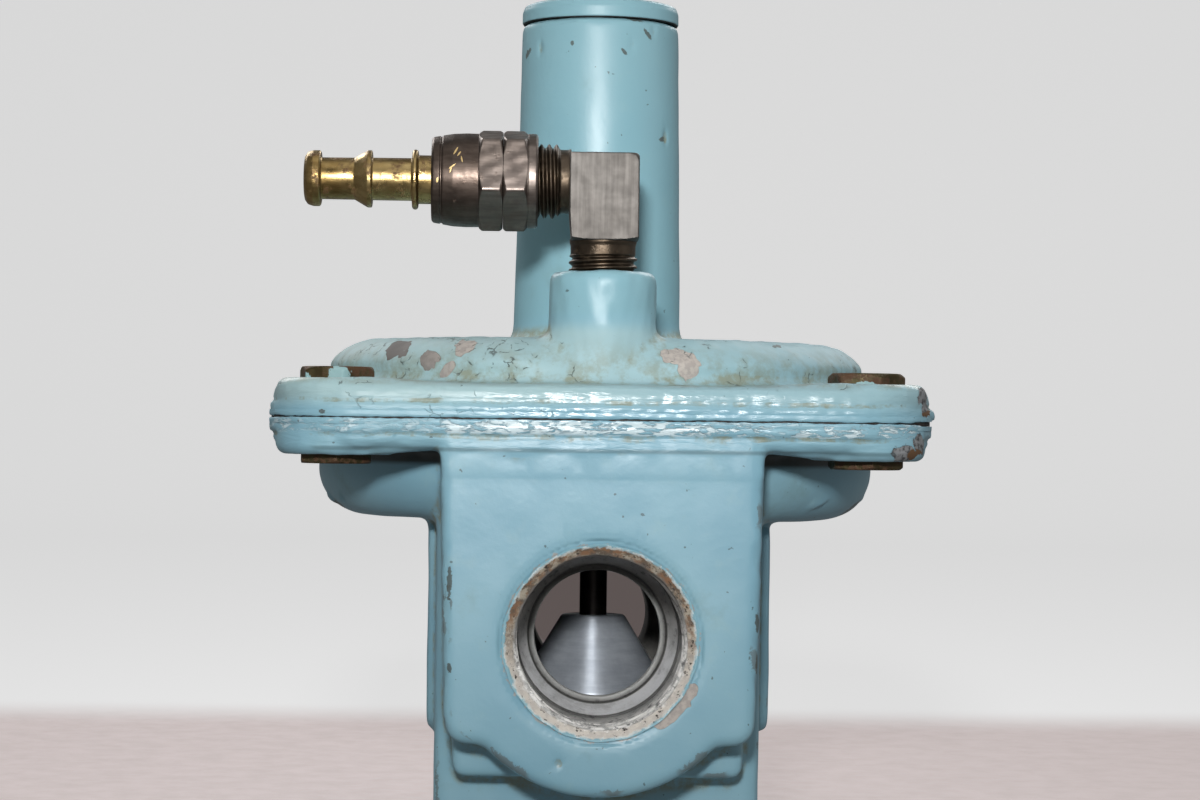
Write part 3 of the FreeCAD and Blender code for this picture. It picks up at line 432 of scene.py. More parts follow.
def paint_cracks(s):
    """Fine cracks in polygon patterns on the dome, fainter on the flanges."""
    bent = s.add("TexNoise", Vector=s.place, Scale=420.0, Detail=3.0).outputs["Color"]
    bent = s.add("VectorMath", {"operation": "MULTIPLY_ADD"}, in0=bent,
                 in1=(0.003, 0.003, 0.003), in2=s.place).outputs[0]
    net = s.add("TexVoronoi", {"feature": "DISTANCE_TO_EDGE"}, Vector=bent,
                Scale=330.0, Randomness=1.0).outputs["Distance"]
    height = s.axis("Z")
    zone = s.times(s.band(height, 84.5, 87.5, 103.4, 104.6),
                   s.between(height, 92.5, 95.0, 0.5, 1.0))
    here = s.times(s.between(s.noise(9, 3, 0.6), 0.53, 0.58), zone,
                   s.between(s.noise(2.0, 2), 0.46, 0.54))
    return s.times(s.between(net, 0.040, 0.016), here)


def paint_shadows(s, color):
    """Painted shade: dark in the gap under the flange and in the crease above the front face."""
    height = s.axis("Z")
    from_axis = s.away_from((0, 0, 0), (1, 1, 0))
    # painted shade in the gap under the flange, where the flange's shadow falls on the bowl
    crevice_shade = s.times(s.band(height, 79.0, 80.2, 83.0, 83.8), s.between(from_axis, 59.0, 55.5))
    color = s.coat(color, crevice_shade, (44, 48, 44), 0.95)
    # painted shade along the crease above the front face
    crease_shade = s.times(s.band(height, 81.8, 82.3, 82.5, 83.0), s.between(s.axis("Y"), -58, -59))
    return s.coat(color, crease_shade, (84, 108, 114), 0.55)


def paint_material():
    """Worn paint over primer, and bare cast metal inside, with painted highlights on the lip under
    the seam and painted shade under the flange.
    """
    s = Shader("worn_paint")
    edge = s.add("Attribute", {"attribute_name": "edge"}).outputs["Fac"]
    inside = s.add("Attribute", {"attribute_name": "inside"}).outputs["Fac"]
    height = s.axis("Z")
    patch = s.noise(34, 3)
    fine = s.noise(1.1, 3, 0.6)
    middle = s.noise(6, 4, 0.62)
    color = paint_colour(s, patch, middle)
    dirt = paint_dirt(s, edge)
    color = s.blend(dirt, color, (132, 132, 104))
    grime = s.between(s.noise(17, 5, 0.7), 0.56, 0.76)
    color = s.coat(color, grime, (112, 138, 134), 0.30)
    # painted highlights: white specks on the lip under the seam
    lip_highlight = painted_lip_highlights(s)
    color = s.coat(color, lip_highlight, (226, 240, 243), 0.80)

    # chips through to the primer, and a chipped ring round each side port
    chip = s.between(s.frayed(s.spots(PRIMER_CHIPS), s.noise(3.4, 2, 0.5, 0.6), 0.9), 0.34, 0.37)
    from_port = s.away_from((0, 0, PORT_Z), (1, 0, 1))
    ring = s.times(s.between(s.frayed(from_port, s.noise(1.6, 4, 0.7), 3.0), 17.8, 17.5),
                   s.between(height, 70, 69))
    primer = s.blend(s.between(fine, 0.4, 0.6), (166, 158, 152), (184, 176, 168))
    primer = s.blend(s.between(s.axis("X"), -40, -22), (106, 102, 99), primer)
    color = s.blend(s.largest([chip, s.times(ring, 0.9)]), color, primer)

    # rubbed edges of the block, and metal bared at the flange's right end
    worn = s.times(s.between(s.frayed(edge, s.noise(1.6, 4, 0.7), 0.9), 0.50, 0.55),
                   s.between(s.noise(13, 2), 0.57, 0.61), s.between(height, 78, 76))
    color = s.coat(color, worn, (100, 97, 90), 0.6)
    scrape = s.between(s.frayed(s.spots(SCRAPED_CORNER), s.noise(2.0, 4, 0.7), 0.8), 0.40, 0.46)
    bared = s.blend(s.between(fine, 0.40, 0.56), (74, 74, 74), (136, 138, 140))
    rusty = s.math("MULTIPLY_ADD", fine, 0.5, s.spots(RUSTY_CORNER))
    bared = s.blend(s.between(rusty, 0.50, 0.62), bared, (104, 76, 50))
    color = s.blend(scrape, color, bared)

    crack = paint_cracks(s)
    color = s.coat(color, crack, (70, 80, 78), 0.75)
    speck = s.between(s.noise(1.5, 2, 0.5), 0.735, 0.76)
    color = s.coat(color, speck, (70, 84, 84), 0.7)
    nick = s.between(s.frayed(s.spots(DARK_NICKS), s.noise(0.8, 3, 0.65), 1.3), 0.30, 0.42)
    color = s.coat(color, nick, (78, 82, 76), 0.85)
    # painted shade under the flange and in the crease above the front face
    color = paint_shadows(s, color)
    cast = s.blend(s.between(middle, 0.4, 0.6), (92, 92, 90), (120, 118, 114))
    color = s.blend(inside, color, cast)

    # glossy on the flange edges, dull on the dome and wherever the paint is gone
    rough = s.between(patch, 0.3, 0.7, 0.36, 0.45)
    wet = s.times(s.band(height, 85.2, 86.0, 93.5, 95.0), s.between(s.axis("X"), -34, -10))
    rough = s.math("MULTIPLY_ADD", wet, -0.12, rough)
    chalky = s.band(height, 94.5, 96.5, 104.5, 107.5)
    bare = s.largest([chip, dirt, scrape, inside])
    rough = s.largest([rough, s.times(chalky, 0.60), s.times(bare, 0.72)])
    ripple = s.times(s.noise(2.0, 4, 0.6, 0.4, stretch=(0.30, 0.30, 1.5)),
                     s.band(height, 81.5, 83.0, 93.5, 95.0))
    cuts = s.largest([chip, lip_highlight, s.times(crack, 0.9), scrape])
    bump = s.raised(s.noise(9, 3, 0.5), 0.28, 0.55)
    bump = s.raised(fine, 0.05, 0.55, bump)
    bump = s.raised(ripple, 0.26, 0.8, bump)
    bump = s.raised(s.math("SUBTRACT", 1.0, cuts), 0.16, 0.9, bump)
    return s.finish(color, rough, 0.0, Normal=bump)


def metal_material(name, base, second, roughness, spread=0.12, grain=None, spots=None,
                   metallic=1.0, spot_share=(0.56, 0.70), scratches=(), anisotropy=0.0,
                   painted=(), dull=None, turn=0.0):
    """A metal with cloudy colour, and if wanted with grain, tarnish, scratches or paint."""
    s = Shader(name)
    cloud = s.noise(7, 4, 0.65)
    color = s.blend(s.between(cloud, 0.36, 0.66), base, second)
    rough = s.between(s.noise(3, 4, 0.6), 0.3, 0.7, roughness - spread / 2, roughness + spread)
    bump = s.raised(s.noise(1.4, 3, 0.6), 0.02, 0.6)
    if grain:
        lines = s.noise(0.9, 3, 0.6, stretch=grain)
        color = s.blend(s.between(lines, 0.3, 0.7, 0.0, 0.30), color, second, "MULTIPLY")
        bump = s.raised(lines, 0.03, 0.7, bump)
    if dull:
        color = s.blend(s.between(s.axis("X"), *dull[:2]), color, dull[2], "MULTIPLY")
    shiny = metallic
    if spots:
        mask = s.between(s.noise(2.6, 5, 0.72), *spot_share)
        color = s.blend(mask, color, spots)
        rough = s.largest([rough, s.times(mask, 0.75)])
        shiny = s.between(mask, 0.0, 1.0, metallic, metallic * 0.25)
        bump = s.raised(mask, 0.05, 0.8, bump)
    if scratches:
        mark = s.between(s.frayed(s.spots(scratches), s.noise(1.1, 3, 0.6), 0.8), 0.34, 0.40)
        color = s.blend(mark, color, (226, 196, 138))
    if painted:
        mark = s.between(s.frayed(s.spots(painted), s.noise(1.1, 3, 0.6), 0.8), 0.30, 0.36)
        color = s.blend(mark, color, (146, 180, 182))
        shiny = s.math("SUBTRACT", shiny, mark)
    return s.finish(color, rough, shiny, Normal=bump, Anisotropic=anisotropy,
                    Anisotropic_Rotation=turn)


def port_wall(s, depth, cloud, fleck, upper, lower):
    """Pale pipe dope on the threads and a silvery wall, with painted shade above and at the steps
    and painted light below.
    """
    metal = s.blend(s.between(cloud, 0.38, 0.62), (186, 186, 184), (222, 221, 218))
    # painted shade: the upper side of the bore darker
    color = s.coat(metal, upper, (84, 78, 74), 0.80)
    # pale pipe dope on the threads, kept to the lower side and whitened there as painted light
    dope = s.times(s.between(fleck, 0.43, 0.54), s.between(depth, 19.6, 11.0))
    color = s.coat(color, dope, (250, 248, 244), lower)
    dark = s.between(s.noise(1.5, 4, 0.7, stretch=(1.0, 0.5, 1.0)), 0.55, 0.66)
    color = s.coat(color, dark, (58, 56, 56), 0.7)
    # painted shade: a dark ring at the step after the threads
    color = s.coat(color, s.band(depth, 19.2, 19.6, 20.3, 20.7), (52, 52, 52), 0.8)
    # painted light: the plain wall past the threads much brighter on its lower side
    plain = s.times(s.band(depth, 20.4, 20.8, 24.8, 25.2), lower)
    color = s.coat(color, plain, (250, 251, 253), s.between(cloud, 0.34, 0.60, 0.5, 1.0))
    # painted shade: dark beyond the step at the inner end
    color = s.coat(color, s.between(depth, 25.0, 25.4), (56, 56, 54), 0.85)
    # the inner end's bright metal shows only on the lower side: painted light there, painted shade
    # above
    inner_end = s.between(depth, 26.3, 26.6)
    color = s.coat(color, inner_end, (186, 187, 184), s.between(s.axis("Z"), 61, 52))
    return color, dope


def port_crust(s, upper, lower):
    """Old paint and rust on the chamfer at a port's mouth."""
    crust = s.blend(s.between(s.noise(2.2, 5, 0.7), 0.42, 0.58), (112, 98, 84),
                    (190, 180, 162))
    # the crust paler on the lower side of the mouth, and rustier on the upper side
    crust = s.coat(crust, lower, (228, 222, 214), 0.70)
    rust = s.between(s.noise(3, 5, 0.7), 0.43, 0.58)
    crust = s.coat(crust, rust, (150, 113, 84), upper)
    return s.blend(s.between(s.noise(1.2, 4, 0.7), 0.58, 0.64), crust, (64, 56, 50))


def port_material():
    """Worn threads: bare metal, rust and old paint at the mouth, pale pipe dope, painted shade and
    light in the bore and a painted highlight on the paint's torn edge.
    """
    s = Shader("port_threads")
    cloud = s.noise(5, 5, 0.7)
    fleck = s.noise(1.7, 5, 0.72)
    height = s.axis("Z")
    depth = s.math("SUBTRACT", PORT_FACE_Y, s.math("ABSOLUTE", s.axis("Y")))
    upper = s.between(height, 42, 58)
    lower = s.between(height, 54, 40)
    color, dope = port_wall(s, depth, cloud, fleck, upper, lower)
    mouth = s.between(s.frayed(depth, fleck, 3.0), 1.9, 1.1)
    color = s.blend(mouth, color, port_crust(s, upper, lower))

    # paint that is left on the outer part of the chamfer, with a pale line along its torn edge
    # painted as a highlight
    away = s.frayed(s.away_from((0, 0, PORT_Z), (1, 0, 1)), s.noise(1.6, 4, 0.7), 1.6)
    kept_paint = s.times(s.between(away, 17.00, 17.25), s.between(height, 70, 69))
    color = s.coat(color, kept_paint, (134, 177, 190), s.between(depth, 1.5, 1.0))
    torn_edge_highlight = s.band(away, 16.85, 17.05, 17.30, 17.45)
    color = s.coat(color, torn_edge_highlight, (218, 224, 222),
                   s.between(s.noise(2.6, 3, 0.6), 0.40, 0.56, 0.0, 0.75))
    rough = s.between(cloud, 0.3, 0.7, 0.42, 0.62)
    bump = s.raised(s.noise(1.0, 4, 0.65), 0.12, 0.9)
    shiny = s.times(s.between(dope, 0.0, 1.0, 0.2, 0.0), s.math("SUBTRACT", 1.0, mouth))
    return s.finish(color, rough, shiny, Normal=bump)


def rubber_material(name, color, tint):
    s = Shader(name)
    tone = s.blend(s.between(s.noise(2.5, 4, 0.6), 0.4, 0.65), color, tint)
    rough = s.between(s.noise(1.5, 3), 0.3, 0.7, 0.55, 0.8)
    return s.finish(tone, rough, 0.0, Normal=s.raised(s.noise(0.7, 3), 0.05, 0.7))


def floor_material():
    """A plain pale backdrop, with a faintly warmer table up to its back edge."""
    s = Shader("backdrop")
    back_edge = s.frayed(s.axis("Y"), s.noise(60, 2), 10)
    table = s.times(s.between(back_edge, 345, 265), s.between(s.axis("Z"), 20, 0))
    grain = s.between(s.noise(4, 3), 0.3, 0.7, 0.0, 0.05)
    pale = s.blend(grain, (236, 236, 236), (228, 228, 228))
    stone = s.between(s.noise(9, 5, 0.7), 0.30, 0.72)
    warm = s.blend(stone, (212, 200, 199), (202, 191, 189))
    warm = s.blend(s.between(s.axis("X"), -100, 400, 0.0, 0.6), warm, (190, 179, 177))
    color = s.blend(table, pale, warm)
    # a painted shadow: a dark patch seen through the ports, where the photo has a dark wall in shade
    # close behind
    shade = s.between(s.spot(24, 850, 0, 48, 90, 0, 470), 0.0, 0.25)
    color = s.blend(shade, color, (96, 86, 84))
    return s.finish(color, 0.9, 0.0, Emission_Color=color, Emission_Strength=0.64)


PAINT = paint_material()
BOLT_METAL = metal_material(
    "rusty_zinc", (100, 94, 70), (84, 73, 50), 0.55, spots=(86, 60, 40), spot_share=(0.44, 0.58),
    painted=PAINT_ON_BOLTS)
ELBOW_METAL = metal_material(
    "brushed_elbow", (122, 118, 114), (112, 108, 104), 0.60, 0.05, grain=(1.0, 1.0, 0.06),
    spots=(84, 76, 66), spot_share=(0.70, 0.82))
NECK_METAL = metal_material(
    "dark_bronze", (94, 83, 71), (68, 58, 48), 0.40, spots=(70, 56, 38), spot_share=(0.52, 0.70))
BRONZE = metal_material(
    "tarnished_bronze", (138, 127, 120), (118, 108, 101), 0.40, grain=(0.12, 1.0, 1.0),
    spots=(92, 74, 62), spot_share=(0.58, 0.80), scratches=BARREL_SCRATCHES,
    dull=(-22.6, -23.4, (192, 185, 180)))
BRASS = metal_material(
    "worn_brass", (186, 162, 112), (154, 128, 80), 0.30, grain=(0.14, 1.0, 1.0),
    spots=(96, 70, 42), spot_share=(0.50, 0.68))
ALUMINIUM = metal_material(
    "turned_aluminium", (206, 213, 221), (190, 197, 206), 0.44, grain=(0.15, 0.15, 1.0),
    metallic=0.50, anisotropy=0.85, turn=0.25)
DARK_STEEL = metal_material("dark_stem", (72, 68, 66), (54, 50, 48), 0.35)
STEEL = metal_material(
    "satin_steel", (178, 178, 174), (152, 152, 148), 0.38, spots=(118, 104, 88),
    spot_share=(0.66, 0.80))
SEAT_BRASS = metal_material(
    "seat_brass", (204, 172, 104), (178, 144, 80), 0.32, grain=(0.15, 0.15, 1.0))
PORT = port_material()
RUBBER = rubber_material("black_rubber", (34, 33, 32), (46, 44, 42))
DIAPHRAGM_RUBBER = rubber_material("diaphragm_rubber", (40, 31, 26), (24, 21, 20))
BACKDROP = floor_material()


# --- castings -----------------------------------------------------------------

def neighbour_mean(values, edges, degree):
    """The mean of each point's neighbours along the mesh edges."""
    first, second = edges[:, 0], edges[:, 1]
    total = np.empty_like(values)
    for axis in range(3):
        column = values[:, axis]
        total[:, axis] = (np.bincount(first, column[second], len(values))
                          + np.bincount(second, column[first], len(values)))
    return total / degree[:, None]


def point_normals(points, quads):
    """Area-weighted normals of a quad mesh."""
    across = np.cross(points[quads[:, 2]] - points[quads[:, 0]],
                      points[quads[:, 3]] - points[quads[:, 1]])
    total = np.empty_like(points)
    for axis in range(3):
        total[:, axis] = sum(np.bincount(quads[:, corner], across[:, axis], len(points))
                             for corner in range(4))
    return total / np.maximum(np.linalg.norm(total, axis=1), 1e-12)[:, None]


def evaluated_mesh(made):
    """A new mesh with the object's modifiers applied."""
    bpy.context.view_layer.update()
    evaluated = made.evaluated_get(bpy.context.evaluated_depsgraph_get())
    return bpy.data.meshes.new_from_object(evaluated)


def even_mesh(node, voxel):
    """A mesh of even quads that follows a CAD node, with cells of voxel mm."""
    source = NODES[node].copy()
    source.data = source.data.copy()
    source.parent = None
    bpy.context.scene.collection.objects.link(source)
    remesh = source.modifiers.new("even", "REMESH")
    remesh.mode = "VOXEL"
    remesh.voxel_size = voxel * MM
    dense = evaluated_mesh(source)
    bpy.data.objects.remove(source)
    return dense


def read_mesh(mesh):
    """The points in millimetres, and the edges and quads, of a mesh as arrays."""
    points = np.empty(len(mesh.vertices) * 3)
    mesh.vertices.foreach_get("co", points)
    edges = np.empty(len(mesh.edges) * 2, np.int64)
    mesh.edges.foreach_get("vertices", edges)
    quads = np.empty(len(mesh.loops), np.int64)
    mesh.loops.foreach_get("vertex_index", quads)
    return points.reshape(-1, 3) / MM, edges.reshape(-1, 2), quads.reshape(-1, 4)


def weathered(points, edges, quads, degree, masks):
    """Fills hollows and rubs edges, as far as the two masks say at each point."""
    fill, rub = masks(points)
    rounds = 30
    for turn in range(rounds):
        if turn % 5 == 0:
            normals = point_normals(points, quads)
        shift = neighbour_mean(points, edges, degree) - points
        outward = np.einsum("ij,ij->i", shift, normals)
        along = shift - outward[:, None] * normals
        if turn < 3:
            rise = outward * np.maximum(0.6, rub)
        elif turn >= rounds - 5:
            rise = outward * np.maximum(fill, rub)
        else:
            rise = np.where(outward > 0, outward * fill, outward * rub * (turn < 8))
        points = points + 0.6 * (along * 0.5 + rise[:, None] * normals)
    return points


def edge_share(points, edges, quads, degree):
    """How far each point stands out from its surroundings, from -1 to 1."""
    blurred = points
    for _ in range(8):
        blurred = neighbour_mean(blurred, edges, degree)
    normals = point_normals(points, quads)
    return np.clip(np.einsum("ij,ij->i", points - blurred, normals) / 0.30, -1, 1)


def thinned(made, faces_wanted):
    """Brings an object's mesh down to about the triangles wanted."""
    total = len(made.data.loops) // 2
    if total > faces_wanted:
        thin = made.modifiers.new("thin", "DECIMATE")
        thin.ratio = faces_wanted / total
        light = evaluated_mesh(made)
        made.modifiers.clear()
        made.data = light


def softened(name, node, voxel, faces_wanted, masks, sculpt):
    """A cast skin grown from a CAD node: even mesh, filled hollows and rubbed edges."""
    dense = even_mesh(node, voxel)
    points, edges, quads = read_mesh(dense)
    degree = np.maximum(np.bincount(edges.ravel(), minlength=len(points)), 1)
    points = weathered(points, edges, quads, degree, masks)
    points = sculpt(points, point_normals(points, quads))
    dense.vertices.foreach_set("co", (points * MM).ravel())
    for label, values in (("edge", edge_share(points, edges, quads, degree)),
                          ("inside", bare_places(points))):
        attribute = dense.attributes.new(label, "FLOAT", "POINT")
        attribute.data.foreach_set("value", values.astype(np.float32))
    dense.update()
    made = in_scene(name, dense)
    thinned(made, faces_wanted)
    made.data.materials.clear()
    made.data.materials.append(PAINT)
    made.data.shade_smooth()
    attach(made, "housing")
    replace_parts(made, node)


def measured(points):
    """Coordinates, and distances from the main axis, the side ports' axis and the boss."""
    x, y, z = points.T
    return x, y, z, np.hypot(x, y), np.hypot(x, z - PORT_Z), np.hypot(x, y - LOADING_Y)


def bore_keep(points):
    """0 on machined bores, faces and holes that must stay true, 1 elsewhere."""
    x, y, z, from_axis, from_port, _ = measured(points)
    keep = np.ones(len(points))
    keep *= 1 - (from_port < 17.6) * (np.abs(y) > 21)
    keep *= 1 - (from_axis < 17.6) * (z < 30)
    keep *= 1 - (from_axis < 26.8) * (z > 28) * (z < 72)
    for bolt_x, bolt_y in CORNERS:
        keep *= 1 - (np.hypot(x - bolt_x, y - bolt_y) < 5.0)
    keep *= 1 - (np.abs(z - SEAM_Z) < 0.7) * (from_axis > 44)
    return keep


def bare_places(points):
    """1 on the machined and cored surfaces inside the castings, which have no paint."""
    x, y, z, from_axis, from_port, _ = measured(points)
    bare = (from_axis < 26.9) & (z > 21) & (z < 90)
    bare |= (from_port < 13.6) & (np.abs(y) < 35.5)
    bare |= (from_axis < 45.6) & (z > 71) & (z < 99.5)
    bare |= (from_axis < 13.3) & (z > 98) | (from_axis < 16.4) & (z < 22)
    return bare.astype(np.float32)


def body_masks(points):
    """How far hollows fill and edges rub on the lower body; the flange stays crisp."""
    x, y, z = points.T
    keep = bore_keep(points)
    rim = (np.maximum(np.abs(x), np.abs(y)) > 57.0) & (z > 81.5)
    under = (z > 76) & (z < 84)
    fill = keep * np.where(rim | under, 0.12, 0.95)
    rub = keep * np.where(rim | under, 0.25, 0.85)
    return fill, rub


def rim_lift(points, waves, groove_z, groove_seed):
    """Waviness and a cast groove along one flange's edge."""
    wave = sum(share * wobble(points, size, seed) for share, size, seed in waves)
    from_groove = np.abs(points[:, 2] - groove_z - 0.12 * wobble(points, 9, groove_seed))
    return wave - 0.40 * bump_at(from_groove, 0.75)


def body_sculpt(points, normals):
    """Cast waviness, a parting step, dents and burrs on the lower body."""
    x, y, z, from_axis, around, _ = measured(points)
    keep = bore_keep(points)
    skin = ramp(z, 0.5, 2.0)
    lift = 0.07 * wobble(points, 26, 1) + 0.035 * wobble(points, 9, 2)
    front = ramp(-y, 57, 59.5)
    lift += 0.10 * front * ramp(z, 77.4, 77.9)
    lift -= 0.09 * ramp(np.abs(y), 57, 59.5) * ramp(around, 19.6, 19.2)
    lift -= 0.45 * bump_at(np.sqrt((x + 7.3) ** 2 + (y + 60.5) ** 2 + (z - 26.5) ** 2), 1.1)
    rim = ramp(np.maximum(np.abs(x), np.abs(y)), 58, 60) * ramp(z, 81, 82)
    lift += rim * rim_lift(points, [(0.10, 7, 3), (0.06, 3.1, 4)], 84.9, 8)
    side = ramp(np.abs(x), 26.8, 27.6) * ramp(-y, 56, 58.5) * ramp(z, 20, 24)
    lift += side * (0.10 * wobble(points, 4.2, 5) - 0.10 * ramp(wobble(points, 6.0, 6), 0.3, 0.8))
    bowl = ramp(from_axis, 46, 50) * ramp(z, 80, 79) * ramp(np.abs(x), 38, 42)
    burr = ramp(wobble(points, 8.0, 7), 0.55, 1.0) * bump_at(np.abs(z - 72.3), 2.0)
    lift += bowl * 0.45 * burr
    moved = points + (lift * keep * skin)[:, None] * normals
    side_liner = (around < 18.3) * (np.abs(y) > 34.2) / np.maximum(around, 1e-6)
    moved[:, 0] += 0.40 * side_liner * x
    moved[:, 2] += 0.40 * side_liner * (z - PORT_Z)
    low_liner = (from_axis < 18.3) * (z < 19.5) / np.maximum(from_axis, 1e-6)
    moved[:, 0] += 0.40 * low_liner * x
    moved[:, 1] += 0.40 * low_liner * y
    return moved


def cover_bores(from_axis, z):
    """0 inside the tower's bore and the diaphragm case, 1 elsewhere."""
    return (1 - (from_axis < 13.2) * (z > 98)) * (1 - (from_axis < 45.5) * (z < 100))


def cover_masks(points):
    """How far hollows fill and edges rub on the cover; the bores stay true."""
    x, y, z, from_axis, _, from_boss = measured(points)
    keep = bore_keep(points) * cover_bores(from_axis, z)
    keep *= 1 - (from_boss < 6.8) * (z < 115)
    rim = (np.maximum(np.abs(x), np.abs(y)) > 57.0) & (z < 94.6)
    foot = (from_boss < 17) & (z > 97)
    fill = keep * np.where(rim, 0.12, np.where(foot, 1.3, 0.95))
    rub = keep * np.where(rim, 0.3, 0.85)
    return fill, rub


def cover_sculpt(points, normals):
    """Cast waviness, dents, lumps and a wider dome shoulder on the upper cover."""
    x, y, z, from_axis, _, from_boss = measured(points)
    keep = bore_keep(points) * cover_bores(from_axis, z)
    lift = 0.06 * wobble(points, 24, 11) + 0.03 * wobble(points, 8, 12)
    rim = ramp(np.maximum(np.abs(x), np.abs(y)), 58, 60) * ramp(z, 95.5, 94)
    lift += rim * rim_lift(points, [(0.09, 7, 13), (0.06, 2.8, 14)], 91.1, 18)
    dome = ramp(from_axis, 20, 30) * ramp(z, 95.5, 97)
    lift += dome * (0.10 * wobble(points, 6.5, 15) + 0.05 * wobble(points, 3.0, 16))
    chunk = np.sqrt((x - 60.5) ** 2 + ((y + 47) / 2) ** 2 + (z - 89.3) ** 2)
    lift += 0.55 * bump_at(chunk, 2.2)
    for mark_x, mark_z, deep in ((-12.3, 160.5, 0.5), (6.0, 160.8, 0.25), (10.5, 164.2, 0.3),
                                 (12.9, 143.5, 0.35)):
        mark_y = -math.sqrt(TOWER_R ** 2 - mark_x ** 2)
        away = np.sqrt((x - mark_x) ** 2 + (y - mark_y) ** 2 + ((z - mark_z) / 1.8) ** 2)
        lift -= deep * bump_at(away, 1.3)
    moved = points + (lift * keep)[:, None] * normals
    shoulder = ramp(from_axis, 36, 45) * ramp(z, 95.4, 99.0) * ramp(z, 106.0, 104.5)
    shoulder *= keep * ramp(from_boss, 12, 17) * 1.5 / np.maximum(from_axis, 1.0)
    moved[:, 0] += shoulder * x
    moved[:, 1] += shoulder * y
    return moved


VOXEL = 0.56
softened("casting_lower_body", "lower_body", VOXEL, 190000, body_masks, body_sculpt)
softened("casting_upper_cover", "upper_cover", VOXEL, 180000, cover_masks, cover_sculpt)


# --- ports --------------------------------------------------------------------

def port_liner(name, place, bore_r, end_depth, lip=0.0):
    """The wall of one port: chamfer, worn thread, plain wall, cone and inner lip."""
    wall = [(0.02, 17.62), (0.10, 17.25), (1.45, PORT_THREAD_R - 0.12), (19.9, PORT_THREAD_R - 0.62),
            (20.0, 15.05), (end_depth - 0.7, bore_r + 0.12), (end_depth, bore_r - 0.05)]
    if lip:
        wall += [(end_depth + 0.3, bore_r - 0.1), (end_depth + 0.5, bore_r - lip),
                 (end_depth + 2.0, bore_r - lip - 0.1), (end_depth + 2.6, bore_r + 0.2)]
    back = [(wall[-1][0] + 0.6, bore_r + 0.5), (20.2, 16.4), (1.8, 16.6), (0.5, 17.5)]
    inside = finer(rounded(wall, 0.25, 3), 0.16)
    outline = inside + [np.array(point, float) for point in back]

    def worn(radius, along, angle):
        fade = ramp(along, 1.2, 2.2) * ramp(along, 15.0, 6.0)
        wear = 0.55 + 0.25 * np.sin(2 * angle + 1) + 0.2 * np.sin(5 * angle + along)
        inner = radius < 16.3
        scar = 0.05 * np.sin(9 * angle + 3 * along) * np.sin(14 * angle + 1.7)
        mouth = 0.16 * np.sin(7 * angle + 0.6) * np.sin(11 * angle) * ramp(along, 0.9, 0.0)
        return radius - inner * fade * wear * (0.80 * helix(along, angle, PORT_PITCH) + scar) + mouth

    turned(name, outline, place, PORT, segments=264, shape=worn,
           closed=True, sharp=50)


def add_ports():
    port_liner("front_port_threads", into_port(-1), 12.95, 26.0, 1.1)
    port_liner("rear_port_threads", into_port(1), 11.8, 26.0)
    port_liner("bottom_port_threads", upright(0, 0), 15.6, 19.8)


# --- flange seam and fasteners ------------------------------------------------

def square_path(half, corner_r, count):
    """Points and outward directions round a square with round corners."""
    straight = 2 * (half - corner_r)
    quarter = corner_r * math.pi / 2
    length = 4 * (straight + quarter)
    spots = []
    for step in range(count):
        side, run = divmod(step / count * length, straight + quarter)
        if run < straight:
            spot = np.array([half, run - straight / 2])
            out = np.array([1.0, 0.0])
        else:
            angle = (run - straight) / corner_r
            out = np.array([math.cos(angle), math.sin(angle)])
            spot = np.array([half - corner_r] * 2) + corner_r * out
        turn = side * math.pi / 2
        spin = np.array([[math.cos(turn), -math.sin(turn)], [math.sin(turn), math.cos(turn)]])
        spots.append((spin @ spot, spin @ out))
    return np.array([spot for spot, _ in spots]), np.array([out for _, out in spots])


def seam_paint(name, side, seed):
    """A thin ragged run of paint that half closes the flange seam."""
    count = 1500
    path, out = square_path(FLANGE_HALF, FLANGE_CORNER_R, count)
    flat = np.column_stack([path, np.zeros(count)])
    reach = 0.13 + 0.07 * wobble(flat, 5, seed) + 0.05 * wobble(flat, 1.8, seed + 1)
    right_end = ramp(path[:, 0], 54, 60) * ramp(-path[:, 1], 20, 40)
    left_end = ramp(-path[:, 0], 57, 60)
    free = np.maximum(reach, 0.05) + 0.35 * right_end + 0.09 * left_end
    swell = 0.05 + 0.05 * wobble(flat, 3.3, seed + 2)
    section = [(-0.02, 1.25), (swell, 0.80), (swell + 0.01, 0.45), (-0.03, free + 0.05),
               (-0.12, free), (-0.50, free), (-0.50, 1.25)]
    rows = []
    for offset, height in section:
        level = SEAM_Z + side * np.broadcast_to(height, count)
        spot = path + out * np.broadcast_to(offset, count)[:, None]
        rows.append(np.column_stack([spot, level]))
    faces = quad_grid(len(section), count, True)
    new_object(name, np.concatenate(rows), faces, PAINT, slot="body_paint", sharp=60)


def bolt_and_nut(index, x, y):
    """One flange bolt with a low worn hexagon head, and its nut underneath."""
    turn = math.radians(35 + (index * 7) % 11)
    bolt = rounded([(79.9, 0), (79.9, 3.4), (80.5, 3.95), (92.25, 3.95), (92.25, 6.7),
                    (92.7, 7.35), (96.35, 7.35), (97.15, 6.25), (97.1, 4.2), (96.85, 0)], 0.25)

    def dent(along, angle):
        return 0.10 * np.sin(3 * angle + index) * np.sin(7 * angle + 2 * index)

    turned(f"flange_bolt_{index}", finer(bolt, 0.7), upright(x, y), BOLT_METAL, "housing",
           "flange_bolts", "fastener_steel", 180,
           hexagon_cut(HEX_HALF_INCH, turn, 0.35, 6.0, dent))
    nut_turn = math.radians(28 + (index * 5) % 9)
    nut = rounded([(79.5, 3.97), (79.5, 6.3), (80.0, 7.35), (84.1, 7.35), (84.6, 6.6),
                   (84.6, 3.97)], 0.25, closed=True)
    turned(f"flange_nut_{index}", finer(nut, 0.7, True), upright(x, y), BOLT_METAL, "housing",
           "flange_nuts", "fastener_steel", 180,
           hexagon_cut(HEX_HALF_INCH, nut_turn, 0.3, 5.5), closed=True)


# --- loading line -------------------------------------------------------------

